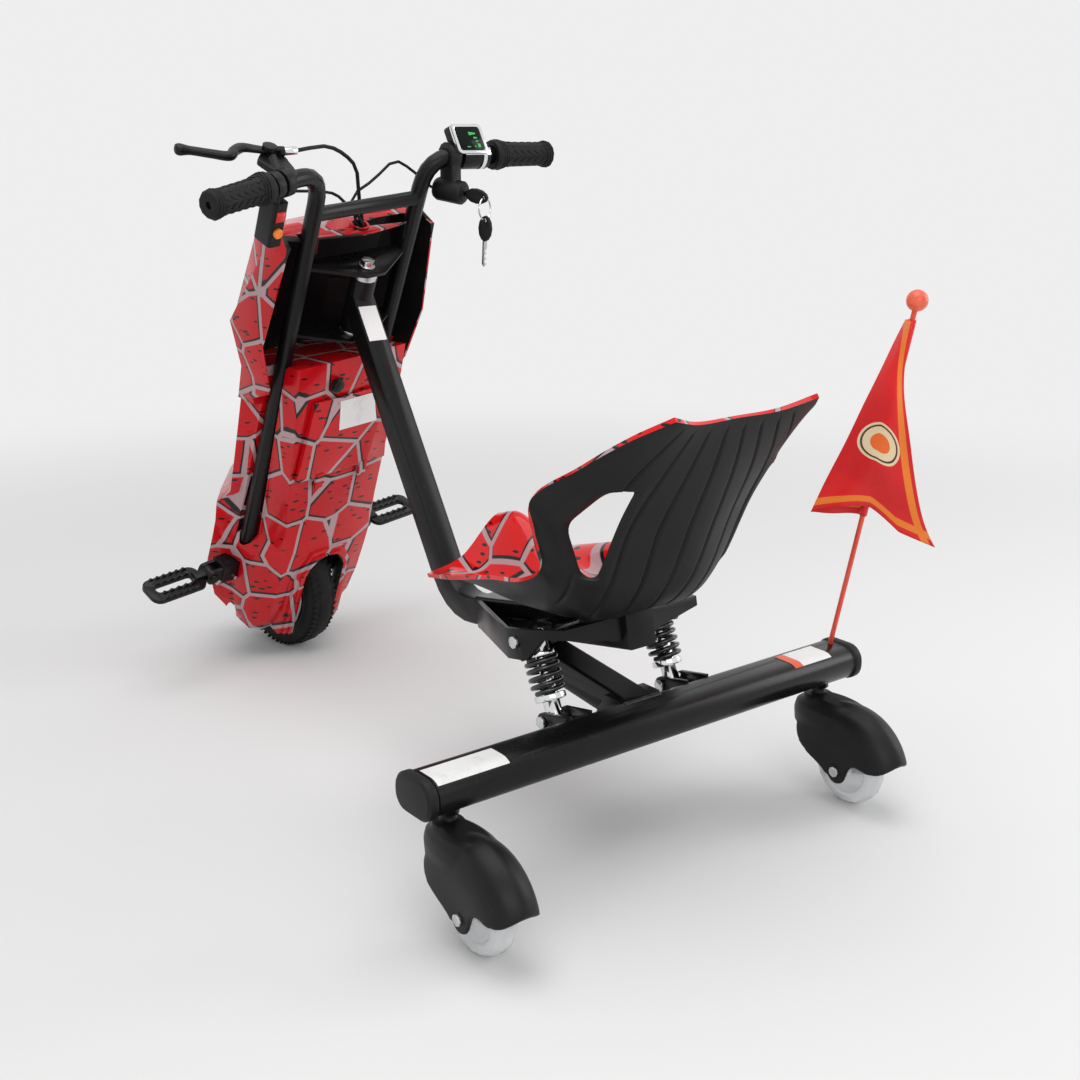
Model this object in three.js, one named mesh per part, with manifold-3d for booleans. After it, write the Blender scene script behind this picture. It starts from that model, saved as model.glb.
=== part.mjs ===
// Three-wheeled drift scooter with a battery-driven front wheel, a bucket seat,
// a sprung rear beam on two free casters, and a flag. Millimetres, +Z up.
// The front of the scooter faces -Y, and the rider's left hand is on the +X side.
// The front assembly is turned a little about its steering axis, as it stands in the photograph.
import * as THREE from 'three';
import { mergeVertices } from 'three/addons/utils/BufferGeometryUtils.js';
import Module from 'manifold-3d';

const wasm = await Module();
wasm.setup();

// General fits
const GAP = 0.3; // between pieces that touch
const RUN = 0.5; // running clearance round a turning piece
const OVERRUN = 5; // how far a cutting tool runs past the face that it opens
const EDGE = 1; // small lips, roundings and the bite of welded pieces
const TRACK = 540; // between the two caster posts
const HALF_TRACK = TRACK / 2;

// Steering axis, front frame and head
const RAKE = 26.4; // degrees, how far the steering axis leans back
const STEER_REST = 10; // degrees, turned to the rider's left
const HEAD_Y = -593; // middle of the head tube
const HEAD_Z = 550;
const HEAD_R = 17;
const HEAD_WALL = 3.5;
const HEAD_HALF = 39;
const TUBE_W = 32; // square section of the down tube
const TUBE_D = 34;
const TUBE_WALL = 2;
const TUBE_CORNER = 4;
const DOWN_ANGLE = 58.2; // degrees below level
const ELBOW_Y = -366;
const ELBOW_R = 72;
const SLEEVE_PITCH = 11.2; // degrees, the seat sleeve climbs to the rear

// Seat sleeve, side rails and cross bar of the rear frame
const SLEEVE_WALL = 3.2;
const SLEEVE_Y = -303;
const SLEEVE_Z = 199.5;
const SLEEVE_LEN = 288;
const TAIL_IN = 70; // how far the down tube's tail goes into the sleeve
const RAIL_T = 5;
const RAIL_H = 34;
const RAIL_OUT = 112; // half width over the rails at the shocks
const RAIL_OUT_AT = 205; // along the sleeve
const RAIL_LAST = 95;
const CROSS_AT = 262;
const CROSS_D = 30;
const CROSS_END_H = 11;
const CROSS_MID_H = 27;
const TIE_T = 4;
const TIE_D = 26;
const LUG_T = 5;

// Swing arm and beam
const PIVOT_Y = -205;
const PIVOT_Z = 180;
const PIVOT_BARREL_R = 13;
const PIVOT_PIN_R = 6;
const ARM_W = 40;
const ARM_H = 34;
const BEAM_END = 28; // past the caster posts
const BEAM_LEN = TRACK + 2 * BEAM_END;
const BEAM_D = 60;
const BEAM_H = 40;
const BEAM_Z = 157;
const BEAM_WALL = 2.5;
const CAP_T = 14;
const CAP_PLUG = 16;
const CAP_LIP = 1.4;

// Shock absorbers
const SHOCK_X = 86;
const SHOCK_TOP_Y = -98;
const SHOCK_TOP_Z = 243;
const SHOCK_LOW_Y = -60;
const SHOCK_LOW_Z = 160;
const SHOCK_EYE_R = 9;
const SHOCK_EYE_W = 22;
const SHOCK_BOLT_R = 4;
const SHOCK_ROD_R = 5;
const SHOCK_BODY_R = 9.5;
const SHOCK_COLLAR_R = 17.5;
const SHOCK_COLLAR_T = 7;
const SPRING_R = 16.6; // to the middle of the wire
const SPRING_WIRE_R = 2.8;
const SPRING_TURNS = 4.5;
const YOKE_W = 29;
const BRACKET_GAP = 26;

// Casters
const CASTER_WHEEL_R = 45;
const CASTER_WHEEL_W = 26;
const CASTER_TRAIL = 57;
const CASTER_HUB_R = 13;
const CASTER_AXLE_R = 4;
const FORK_L = 151;
const FORK_H = 95;
const FORK_LOW = 32;
const FORK_FRONT = 18;
const FORK_HALF_W = 29;
const FORK_WALL = 5;
const POST_R = 8;
const POST_COLLAR_R = 12;
const COLLAR_DROP = 8;

// Front wheel
const TYRE_R = 105;
const TYRE_W = 50;
const RIM_R = 74;
const RIM_W = 44;
const MOTOR_R = 58;
const MOTOR_W = 62;
const AXLE_R = 6;
const BAR_OFFSET = -23; // the uprights stand ahead of the steering axis

// Handlebar
const BAR_R = 11.1;
const UPRIGHT_X = 87;
const GRIP_S = 190; // height of the grips along the steering axis
const GRIP_X = 275;
const GRIP_Q = 13;
const BEND_R = 46;
const CROSSBAR_S = 130;
const CROSSBAR_R = 9.5;
const PLATE_T = 4;

// Grips and controls
const GRIP_R = 16.5;
const GRIP_LEN = 92;
const GRIP_FLANGE_R = 19.5;
const CLAMP_R = 17;
const DISPLAY_W = 46;
const DISPLAY_D = 40;
const DISPLAY_T = 15;
const LOCK_R = 15.5;
const LOCK_LEN = 44;
const KEY_BOW_L = 34;
const KEY_BOW_W = 20;
const KEY_T = 5;
const KEY_BLADE_L = 33;
const KEY_BLADE_W = 7.5;
const KEY_BLADE_T = 2.2;
const RING_R = 14.5;
const RING_WIRE_R = 1.1;
const LEVER_LEN = 112;
const CABLE_R = 2.5;
const LEAD_R = 2;

// Fairing
const HULL_HALF_W = 140;
const HULL_NOSE = 150; // from the steering axis to the nose
const HULL_TOP = 98; // above the middle of the head tube
const HULL_DROP = 540; // below it
const HULL_WALL = 3;
const GROOVE_FOOT_S = -388; // where the uprights go into the lower body
const DOOR_TOP_S = -130;
const DOOR_LOW_S = -250;
const DOOR_HALF_TOP = 66;
const DOOR_HALF_LOW = 79;
const DOOR_FACE_TOP_Q = 27;
const DOOR_FACE_LOW_Q = 38;
const DOOR_PROUD = 5;
const ARCH_GAP = 11;
const ARCH_HALF_W = 36;
const ARCH_TOP_S = -398;
const RIDGE_W = 9;
const RIDGE_RISE = 12;
const RIDGE_FACE_Q = 50;

// Foot pegs
const PEG_S = -446;
const PEG_Q = -27;
const PEG_ROOT_X = 143;
const PEG_LEN = 103;
const PEG_W = 46;
const PEG_T = 6;
const PEG_TOOTH = 4;

// Seat
const SEAT_T = 4.5;
const SEAT_HALF_W = 150;

// Flag
const POLE_R = 3;
const POLE_LEN = 440;
const POLE_LEAN = 12.4; // degrees, to the rear
const POLE_X = -291;
const BALL_R = 12;
const FLAG_H = 236;
const FLAG_T = 2;

// Finishes
const coat = (color, roughness, metalness) => new THREE.MeshStandardMaterial({ color, roughness, metalness });
const finish = {
  frameBlack: coat(0x17171a, 0.45, 0.4),
  plasticBlack: coat(0x1b1b1e, 0.55, 0),
  seatRed: coat(0xd8121c, 0.3, 0),
  fairingRed: coat(0xcf1420, 0.2, 0),
  rubber: coat(0x161616, 0.8, 0),
  chrome: coat(0xd6d8da, 0.15, 1),
  steel: coat(0xa9abad, 0.35, 1),
  clearWheel: coat(0xe9edf0, 0.2, 0),
  red: coat(0xe2252b, 0.4, 0),
  orange: coat(0xff8a1c, 0.4, 0),
  ballOrange: coat(0xf2593a, 0.35, 0),
  battery: coat(0x2257a8, 0.5, 0),
  alloy: coat(0x8c8f93, 0.4, 0.9),
  screen: coat(0x0a0f0c, 0.1, 0),
};

// Solids
function toSolid(geometry) {
  const bare = geometry.clone();
  bare.deleteAttribute('normal');
  bare.deleteAttribute('uv');
  const merged = mergeVertices(bare);
  const corners = merged.attributes.position.array;
  const index = merged.index.array;
  const corner = (i) => new THREE.Vector3().fromArray(corners, i * 3);
  const faces = [];
  let volume = 0;
  for (let i = 0; i < index.length; i += 3) {
    const [a, b, c] = [index[i], index[i + 1], index[i + 2]];
    if (a !== b && b !== c && c !== a) {
      faces.push([a, b, c]);
      volume += corner(a).dot(corner(b).cross(corner(c)));
    }
  }
  if (volume < 0) faces.forEach((face) => face.reverse());
  const triVerts = new Uint32Array(faces.flat());
  return new wasm.Manifold(new wasm.Mesh({ numProp: 3, vertProperties: new Float32Array(corners), triVerts }));
}

function toGeometry(solid) {
  const mesh = solid.getMesh();
  const geometry = new THREE.BufferGeometry();
  geometry.setAttribute('position', new THREE.BufferAttribute(new Float32Array(mesh.vertProperties), 3));
  geometry.setIndex(new THREE.BufferAttribute(new Uint32Array(mesh.triVerts), 1));
  return geometry;
}

const join = (first, ...others) => others.reduce((sum, other) => sum.add(other), first);
const cut = (first, ...tools) => tools.reduce((rest, tool) => rest.subtract(tool), first);
const vec = (x, y, z) => new THREE.Vector3(x, y, z);
const rad = (degrees) => (degrees * Math.PI) / 180;
const mirrorX = (solid) => solid.mirror([1, 0, 0]);

// A box given by its size and its middle
const block = (width, depth, height, x, y, z) =>
  toSolid(new THREE.BoxGeometry(width, depth, height).translate(x, y, z));

// A turned piece: the profile lists [radius, distance along the axis] from the axis back to the axis
function turned(profile, from, direction, sides) {
  const points = profile.map(([radius, along]) => new THREE.Vector2(radius, along));
  const geometry = new THREE.LatheGeometry(points, sides);
  const spin = new THREE.Quaternion().setFromUnitVectors(vec(0, 1, 0), direction.clone().normalize());
  return toSolid(geometry.applyQuaternion(spin).translate(from.x, from.y, from.z));
}

// A plain round bar between two points
function rod(radius, from, to, sides) {
  const along = to.clone().sub(from);
  return turned([[0, 0], [radius, 0], [radius, along.length()], [0, along.length()]], from, along, sides);
}

// A tube or a washer between two points
function pipe(outer, inner, from, to, sides) {
  const along = to.clone().sub(from).normalize().multiplyScalar(OVERRUN);
  return cut(rod(outer, from, to, sides), rod(inner, from.clone().sub(along), to.clone().add(along), sides));
}

const shapeOf = (points) => new THREE.Shape(points.map(([a, b]) => new THREE.Vector2(a, b)));

// A slab cut from an outline. Across 'x' the outline lies in Y and Z, across 'y' in X and Z, across 'z' in X and Y.
function slab(outline, low, high, across, bevel = 0) {
  const shape = Array.isArray(outline) ? shapeOf(outline) : outline;
  const rounded = { bevelEnabled: true, bevelThickness: bevel, bevelSize: bevel, bevelOffset: -bevel, bevelSegments: 1 };
  const plain = { bevelEnabled: false };
  const options = { depth: high - low - 2 * bevel, curveSegments: 3, ...(bevel > 0 ? rounded : plain) };
  const geometry = new THREE.ExtrudeGeometry(shape, options);
  geometry.translate(0, 0, low + bevel);
  const basis = {
    x: new THREE.Matrix4().makeBasis(vec(0, 1, 0), vec(0, 0, 1), vec(1, 0, 0)),
    y: new THREE.Matrix4().makeBasis(vec(1, 0, 0), vec(0, 0, 1), vec(0, 1, 0)),
    z: new THREE.Matrix4(),
  };
  return toSolid(geometry.applyMatrix4(basis[across]));
}

// An outline with round corners, centred on a point
function roundRect(width, height, radius, x = 0, y = 0) {
  const shape = new THREE.Shape();
  const [a, b, r] = [width / 2, height / 2, radius];
  shape.moveTo(x + a, y - b + r);
  shape.lineTo(x + a, y + b - r);
  shape.absarc(x + a - r, y + b - r, r, 0, Math.PI / 2);
  shape.lineTo(x - a + r, y + b);
  shape.absarc(x - a + r, y + b - r, r, Math.PI / 2, Math.PI);
  shape.lineTo(x - a, y - b + r);
  shape.absarc(x - a + r, y - b + r, r, Math.PI, 1.5 * Math.PI);
  shape.lineTo(x + a - r, y - b);
  shape.absarc(x + a - r, y - b + r, r, 1.5 * Math.PI, 2 * Math.PI);
  return shape;
}

// A path through listed points, for a tube whose rings sit exactly at them
class ListedPath extends THREE.Curve {
  constructor(points) {
    super();
    this.points = points;
  }
  getPoint(t) {
    const place = Math.min(t, 1) * (this.points.length - 1);
    const i = Math.min(Math.floor(place), this.points.length - 2);
    return this.points[i].clone().lerp(this.points[i + 1], place - i);
  }
  getPointAt(t) {
    return this.getPoint(t);
  }
  getTangentAt(t) {
    const last = this.points.length - 1;
    const i = Math.round(t * last);
    return this.points[Math.min(i + 1, last)].clone().sub(this.points[Math.max(i - 1, 0)]).normalize();
  }
}

// Rounds the corners of a polyline, each with its own radius
function bentPath(corners, radius, steps) {
  const path = [corners[0].clone()];
  for (let i = 1; i < corners.length - 1; i += 1) {
    const [before, at, after] = [corners[i - 1], corners[i], corners[i + 1]];
    const back = before.clone().sub(at).normalize();
    const on = after.clone().sub(at).normalize();
    const reach = radius / Math.tan(back.angleTo(on) / 2);
    const arc = new THREE.QuadraticBezierCurve3(
      at.clone().addScaledVector(back, reach), at, at.clone().addScaledVector(on, reach));
    path.push(...arc.getPoints(steps));
  }
  path.push(corners.at(-1).clone());
  return path;
}

function swept(shape, points) {
  const options = { steps: points.length - 1, bevelEnabled: false, curveSegments: 1, extrudePath: new ListedPath(points) };
  return toSolid(new THREE.ExtrudeGeometry(shape, options));
}

function ngon(radius, sides) {
  const turn = (2 * Math.PI) / sides;
  return shapeOf(Array.from({ length: sides }, (_, i) => [radius * Math.cos(i * turn), radius * Math.sin(i * turn)]));
}

const tube = (points, radius, sides) => swept(ngon(radius, sides), points);

// A solid through rings of points, all with the same count. The end rings are closed flat.
function loft(rings) {
  const count = rings[0].length;
  const positions = rings.flat().flatMap((p) => [p.x, p.y, p.z]);
  const index = [];
  for (let k = 0; k < rings.length - 1; k += 1) {
    for (let i = 0; i < count; i += 1) {
      const [a, b] = [k * count + i, k * count + ((i + 1) % count)];
      index.push(a, b, b + count, a, b + count, a + count);
    }
  }
  const flat = (ring) => {
    const normal = ringNormal(ring);
    const spin = new THREE.Quaternion().setFromUnitVectors(normal, vec(0, 0, 1));
    return ring.map((p) => p.clone().applyQuaternion(spin)).map((p) => new THREE.Vector2(p.x, p.y));
  };
  const lastStart = (rings.length - 1) * count;
  THREE.ShapeUtils.triangulateShape(flat(rings[0]), []).forEach(([a, b, c]) => index.push(a, c, b));
  THREE.ShapeUtils.triangulateShape(flat(rings.at(-1)), [])
    .forEach(([a, b, c]) => index.push(lastStart + a, lastStart + b, lastStart + c));
  const geometry = new THREE.BufferGeometry();
  geometry.setAttribute('position', new THREE.BufferAttribute(new Float32Array(positions), 3));
  geometry.setIndex(index);
  return toSolid(geometry);
}

function ringNormal(ring) {
  const normal = vec(0, 0, 0);
  ring.forEach((p, i) => {
    const q = ring[(i + 1) % ring.length];
    normal.add(vec((p.y - q.y) * (p.z + q.z), (p.z - q.z) * (p.x + q.x), (p.x - q.x) * (p.y + q.y)));
  });
  return normal.normalize();
}

const root = new THREE.Group();
const steering = new THREE.Group(); // holds every piece that turns with the handlebar
const tilt = new THREE.Group();
tilt.position.set(0, HEAD_Y, HEAD_Z);
tilt.rotation.x = -rad(RAKE);
steering.rotation.z = rad(STEER_REST);
tilt.add(steering);
root.add(tilt);

function place(name, solid, material, parent = root) {
  const mesh = new THREE.Mesh(toGeometry(solid), material);
  mesh.name = name;
  parent.add(mesh);
  return mesh;
}

// Front frame: the head tube, and the square down tube that bends under the seat
const rakeUp = vec(0, Math.sin(rad(RAKE)), Math.cos(rad(RAKE)));
const headPoint = (along) => vec(0, HEAD_Y, HEAD_Z).addScaledVector(rakeUp, along);
const sleeveDir = vec(0, Math.cos(rad(SLEEVE_PITCH)), Math.sin(rad(SLEEVE_PITCH)));
const sleeveUp = vec(0, -Math.sin(rad(SLEEVE_PITCH)), Math.cos(rad(SLEEVE_PITCH)));
const sleeveStart = vec(0, SLEEVE_Y, SLEEVE_Z);
const sleevePoint = (along, up = 0, x = 0) =>
  sleeveStart.clone().addScaledVector(sleeveDir, along).addScaledVector(sleeveUp, up).setX(x);

function elbowCorner() {
  return sleevePoint((ELBOW_Y - SLEEVE_Y) / Math.cos(rad(SLEEVE_PITCH)));
}

function frontFrame() {
  const corner = elbowCorner();
  const downDir = vec(0, -Math.cos(rad(DOWN_ANGLE)), Math.sin(rad(DOWN_ANGLE)));
  // the tube starts on the steering axis, at the height where its own line meets it
  const rise = (HEAD_Y - corner.y) / downDir.y;
  const meet = corner.clone().addScaledVector(downDir, rise);
  const path = bentPath([meet, corner, sleevePoint(TAIL_IN)], ELBOW_R, 5);
  const outside = swept(roundRect(TUBE_W, TUBE_D, TUBE_CORNER), path);
  const bore = bentPath([meet, corner, sleevePoint(TAIL_IN + OVERRUN)], ELBOW_R, 5);
  const inside = swept(roundRect(TUBE_W - 2 * TUBE_WALL, TUBE_D - 2 * TUBE_WALL, TUBE_CORNER - TUBE_WALL), bore);
  const head = rod(HEAD_R, headPoint(-HEAD_HALF), headPoint(HEAD_HALF), 16);
  const headBore = rod(HEAD_R - HEAD_WALL, headPoint(-HEAD_HALF - OVERRUN), headPoint(HEAD_HALF + OVERRUN), 16);
  const hollow = cut(inside, rod(HEAD_R, headPoint(-HEAD_HALF - OVERRUN), headPoint(HEAD_HALF + OVERRUN), 16));
  return cut(join(outside, head), hollow, headBore);
}
place('front_frame', frontFrame(), finish.frameBlack);

// Head bearings: flanged cups pressed in the head tube's two ends
const UPPER_FLANGE_T = 11.4; // the cup with the race above it
const LOWER_FLANGE_T = 5.4;
const BEARING_DEPTH = 9;
const STEM_R = 6;
function headBearing(sign, flange) {
  const outer = HEAD_R - HEAD_WALL - GAP;
  const profile = [
    [STEM_R + RUN, -BEARING_DEPTH], [outer, -BEARING_DEPTH], [outer, GAP], [HEAD_R, GAP],
    [HEAD_R, GAP + flange], [STEM_R + RUN, GAP + flange], [STEM_R + RUN, -BEARING_DEPTH],
  ];
  return turned(profile, headPoint(sign * HEAD_HALF), rakeUp.clone().multiplyScalar(sign), 16);
}
place('head_bearing_upper', headBearing(1, UPPER_FLANGE_T), finish.steel);
place('head_bearing_lower', headBearing(-1, LOWER_FLANGE_T), finish.steel);

// Rear frame: the sleeve with its side rails, shock lugs, seat cross bar and swing-arm lugs, all welded
const SLEEVE_W = TUBE_W + 2 * GAP + 2 * SLEEVE_WALL;
const SLEEVE_H = TUBE_D + 2 * GAP + 2 * SLEEVE_WALL;
const shockTop = vec(0, SHOCK_TOP_Y, SHOCK_TOP_Z);
const shockLow = vec(0, SHOCK_LOW_Y, SHOCK_LOW_Z);

// Brings a solid drawn along +Y at the origin into the sleeve's own slope
function onSleeve(solid) {
  const cosine = sleeveDir.y;
  const sine = sleeveDir.z;
  return solid.transform([1, 0, 0, 0, 0, cosine, sine, 0, 0, -sine, cosine, 0, 0, SLEEVE_Y, SLEEVE_Z, 1]);
}

function alongSleeve(point) {
  const from = point.clone().sub(sleeveStart);
  return { along: from.dot(sleeveDir), up: from.dot(sleeveUp) };
}

function sideRail() {
  const outer = SLEEVE_W / 2;
  const backEnd = CROSS_AT + CROSS_D / 2;
  const line = [[outer - RAIL_T, 0], [outer, 0], [RAIL_OUT, RAIL_OUT_AT - TIE_D / 2],
    [RAIL_OUT, RAIL_OUT_AT + TIE_D / 2], [RAIL_LAST, backEnd], [RAIL_LAST - RAIL_T, backEnd],
    [RAIL_OUT - RAIL_T, RAIL_OUT_AT + TIE_D / 2 - RAIL_T / 2], [RAIL_OUT - RAIL_T, RAIL_OUT_AT - TIE_D / 2],
    [outer - RAIL_T, RAIL_T]];
  const bar = slab(line, -RAIL_H / 2, RAIL_H / 2, 'z');
  // the rail's rear end tapers up to the cross bar
  const taper = slab([[RAIL_OUT_AT + TIE_D / 2, -RAIL_H / 2 - OVERRUN], [backEnd + OVERRUN, -RAIL_H / 2 - OVERRUN],
    [backEnd + OVERRUN, RAIL_H / 2 - CROSS_END_H], [backEnd - CROSS_D, RAIL_H / 2 - CROSS_END_H]],
  outer, RAIL_OUT + OVERRUN, 'x');
  return cut(bar, taper);
}

function crossBar() {
  const top = RAIL_H / 2;
  const half = SLEEVE_W / 2;
  const shape = [[-RAIL_LAST, top], [-RAIL_LAST, top - CROSS_END_H], [-half, top - CROSS_MID_H],
    [half, top - CROSS_MID_H], [RAIL_LAST, top - CROSS_END_H], [RAIL_LAST, top]];
  return slab(shape, CROSS_AT - CROSS_D / 2, CROSS_AT + CROSS_D / 2, 'y');
}

function shockTie() {
  // a flat strap across the sleeve whose ends turn down as the inner lugs of the top bolts
  const at = alongSleeve(shockTop);
  const lugX = SHOCK_X - YOKE_W / 2 - RUN - LUG_T;
  const top = RAIL_H / 2;
  const strap = block(2 * (lugX + LUG_T), TIE_D, TIE_T, 0, at.along, top - TIE_T / 2);
  const lug = block(LUG_T, TIE_D, top - at.up + SHOCK_EYE_R, lugX + LUG_T / 2, at.along,
    (top + at.up - SHOCK_EYE_R) / 2);
  return join(strap, lug, mirrorX(lug));
}

function pivotLugs() {
  const lugX = ARM_W / 2 + GAP;
  const at = alongSleeve(vec(0, PIVOT_Y, PIVOT_Z));
  const width = 1.8 * PIVOT_BARREL_R;
  const outline = [[at.along - width, 0], [at.along - width / 2, at.up], [at.along, at.up - PIVOT_BARREL_R],
    [at.along + width / 2, at.up], [at.along + width, 0]];
  const lug = slab(outline, SLEEVE_W / 2 - SLEEVE_WALL, lugX + LUG_T, 'x');
  const slot = block(ARM_W + 2 * GAP, 4 * width, SLEEVE_H, 0, at.along, -SLEEVE_H);
  return cut(join(lug, mirrorX(lug)), slot);
}

function rearFrame() {
  const half = SLEEVE_LEN / 2;
  const outer = slab(roundRect(SLEEVE_W, SLEEVE_H, TUBE_CORNER), 0, SLEEVE_LEN, 'y');
  const inner = slab(roundRect(SLEEVE_W - 2 * SLEEVE_WALL, SLEEVE_H - 2 * SLEEVE_WALL, TUBE_CORNER - GAP),
    -OVERRUN, SLEEVE_LEN - SLEEVE_WALL, 'y');
  const below = block(SLEEVE_W - 2 * SLEEVE_WALL, 2 * half, SLEEVE_H, 0, half, 0);
  const rails = cut(join(sideRail(), mirrorX(sideRail()), crossBar(), shockTie()), cut(below, block(TRACK,
    SLEEVE_WALL, SLEEVE_H, 0, SLEEVE_LEN - SLEEVE_WALL / 2, 0)));
  const frame = onSleeve(join(cut(outer, inner), cut(rails, inner), cut(pivotLugs(), inner)));
  const topHole = rod(SHOCK_BOLT_R + GAP, shockTop.clone().setX(-TRACK / 2), shockTop.clone().setX(TRACK / 2), 10);
  const pivot = vec(0, PIVOT_Y, PIVOT_Z);
  const pivotHole = rod(PIVOT_PIN_R + 2 * GAP, pivot.clone().setX(-TRACK / 4), pivot.clone().setX(TRACK / 4), 10);
  return cut(frame, topHole, pivotHole);
}
place('rear_frame', rearFrame(), finish.frameBlack);

// A bolt along X: round head, shank and nut
const BOLT_HEAD_R = 7;
const BOLT_HEAD_T = 4.5;
function crossBolt(shankR, headR, fromX, toX, y, z) {
  const length = toX - fromX + 2 * GAP;
  const profile = [[0, -BOLT_HEAD_T], [headR, -BOLT_HEAD_T], [headR, 0], [shankR, 0], [shankR, length],
    [headR, length], [headR, length + BOLT_HEAD_T], [0, length + BOLT_HEAD_T]];
  return turned(profile, vec(toX + GAP, y, z), vec(-1, 0, 0), 8);
}
const boltSpans = {
  top: [SHOCK_X - YOKE_W / 2 - RUN - LUG_T, RAIL_OUT],
  low: [SHOCK_X - BRACKET_GAP / 2 - LUG_T, SHOCK_X + BRACKET_GAP / 2 + LUG_T],
};
const topBolt = crossBolt(SHOCK_BOLT_R, BOLT_HEAD_R, ...boltSpans.top, SHOCK_TOP_Y, SHOCK_TOP_Z);
const lowBolt = crossBolt(SHOCK_BOLT_R, BOLT_HEAD_R, ...boltSpans.low, SHOCK_LOW_Y, SHOCK_LOW_Z);
const pivotHalf = ARM_W / 2 + GAP + LUG_T;
const pivotBolt = crossBolt(PIVOT_PIN_R, BOLT_HEAD_R + 2 * EDGE, -pivotHalf, pivotHalf, PIVOT_Y, PIVOT_Z);
place('shock_top_bolt_left', topBolt, finish.chrome);
place('shock_top_bolt_right', mirrorX(topBolt), finish.chrome);
place('swing_pivot_bolt', pivotBolt, finish.steel);

// Swing arm: the square arm, the flat-oval beam, the shock brackets and the caster posts' collars, all welded
const armDir = vec(0, -PIVOT_Y, BEAM_Z - PIVOT_Z).normalize();
function swingArm() {
  const start = vec(0, PIVOT_Y, PIVOT_Z);
  const length = vec(0, 0, BEAM_Z).sub(start).length();
  const slope = Math.atan2(armDir.z, armDir.y);
  const tip = length - BEAM_D / 2 + OVERRUN;
  const drawn = slab(roundRect(ARM_W, ARM_H, TUBE_CORNER), PIVOT_BARREL_R / 2, tip, 'y');
  const arm = drawn.transform([1, 0, 0, 0, 0, Math.cos(slope), Math.sin(slope), 0,
    0, -Math.sin(slope), Math.cos(slope), 0, 0, PIVOT_Y, PIVOT_Z, 1]);
  const barrel = rod(PIVOT_BARREL_R, start.clone().setX(-ARM_W / 2), start.clone().setX(ARM_W / 2), 14);
  // the arm's front end is cut back round, so that it clears the sleeve when the arm swings up
  const gusset = slab([[-BEAM_D / 2 - ARM_H, BEAM_Z - ARM_H / 2 + OVERRUN], [-BEAM_D / 3, BEAM_Z - ARM_H / 2],
    [-BEAM_D / 3, BEAM_Z + BEAM_H / 2], [-BEAM_D / 2 - ARM_H / 2, BEAM_Z + BEAM_H / 2]],
  -ARM_W * 0.72, ARM_W * 0.72, 'x');
  const beam = beamTube();
  const bracket = shockBracket();
  const welded = join(arm, barrel, gusset, beam.outer, bracket, mirrorX(bracket), casterCollar(1), casterCollar(-1));
  const pin = rod(PIVOT_PIN_R + 2 * GAP, start.clone().setX(-ARM_W), start.clone().setX(ARM_W), 10);
  const lowHole = rod(SHOCK_BOLT_R + GAP, shockLow.clone().setX(-HALF_TRACK), shockLow.clone().setX(HALF_TRACK), 10);
  return cut(welded, beam.inner, pin, cut(lowHole, beam.outer), poleHole(), casterBore(1), casterBore(-1));
}

function beamTube() {
  const section = roundRect(BEAM_D, BEAM_H, BEAM_H / 2 - EDGE, 0, BEAM_Z);
  const bore = roundRect(BEAM_D - 2 * BEAM_WALL, BEAM_H - 2 * BEAM_WALL, BEAM_H / 2 - BEAM_WALL - EDGE, 0, BEAM_Z);
  return {
    outer: slab(section, -BEAM_LEN / 2, BEAM_LEN / 2, 'x'),
    inner: slab(bore, -BEAM_LEN / 2 - OVERRUN, BEAM_LEN / 2 + OVERRUN, 'x'),
  };
}

function shockBracket() {
  const near = -BEAM_D / 2 + BEAM_WALL + EDGE;
  const outline = new THREE.Shape();
  outline.moveTo(near, BEAM_Z - BEAM_H / 4);
  outline.lineTo(SHOCK_LOW_Y, SHOCK_LOW_Z - SHOCK_EYE_R - EDGE);
  outline.absarc(SHOCK_LOW_Y, SHOCK_LOW_Z, SHOCK_EYE_R + EDGE, 1.5 * Math.PI, 0.6 * Math.PI, true);
  outline.lineTo(-BEAM_D / 3, BEAM_Z + BEAM_H / 2 + EDGE);
  outline.lineTo(-BEAM_D / 3, BEAM_Z + BEAM_H / 2 - 2 * BEAM_WALL);
  const inner = SHOCK_X - BRACKET_GAP / 2;
  const outer = SHOCK_X + BRACKET_GAP / 2;
  return join(slab(outline, inner - LUG_T, inner, 'x'), slab(outline, outer, outer + LUG_T, 'x'));
}

function casterCollar(sign) {
  const low = vec(sign * HALF_TRACK, 0, BEAM_Z - BEAM_H / 2 - COLLAR_DROP);
  return rod(POST_COLLAR_R, low, vec(sign * HALF_TRACK, 0, BEAM_Z), 12);
}

function casterBore(sign) {
  const low = vec(sign * HALF_TRACK, 0, BEAM_Z - BEAM_H / 2 - COLLAR_DROP - OVERRUN);
  return rod(POST_R + RUN / 2, low, vec(sign * HALF_TRACK, 0, BEAM_Z + BEAM_H / 2 - BEAM_WALL), 14);
}

// Flag pole: a thin rod in a hole of the beam's top, leaning back
const poleDir = vec(0, Math.sin(rad(POLE_LEAN)), Math.cos(rad(POLE_LEAN)));
const POLE_SINK = 30;
const poleFoot = vec(POLE_X, -BEAM_D / 6, BEAM_Z + BEAM_H / 2 - POLE_SINK);
function poleHole() {
  const up = poleFoot.clone().addScaledVector(poleDir, 2 * POLE_SINK);
  return rod(POLE_R + GAP, poleFoot.clone().addScaledVector(poleDir, POLE_SINK / 3), up, 10);
}
place('swing_arm', swingArm(), finish.frameBlack);
place('shock_low_bolt_left', lowBolt, finish.chrome);
place('shock_low_bolt_right', mirrorX(lowBolt), finish.chrome);

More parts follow.
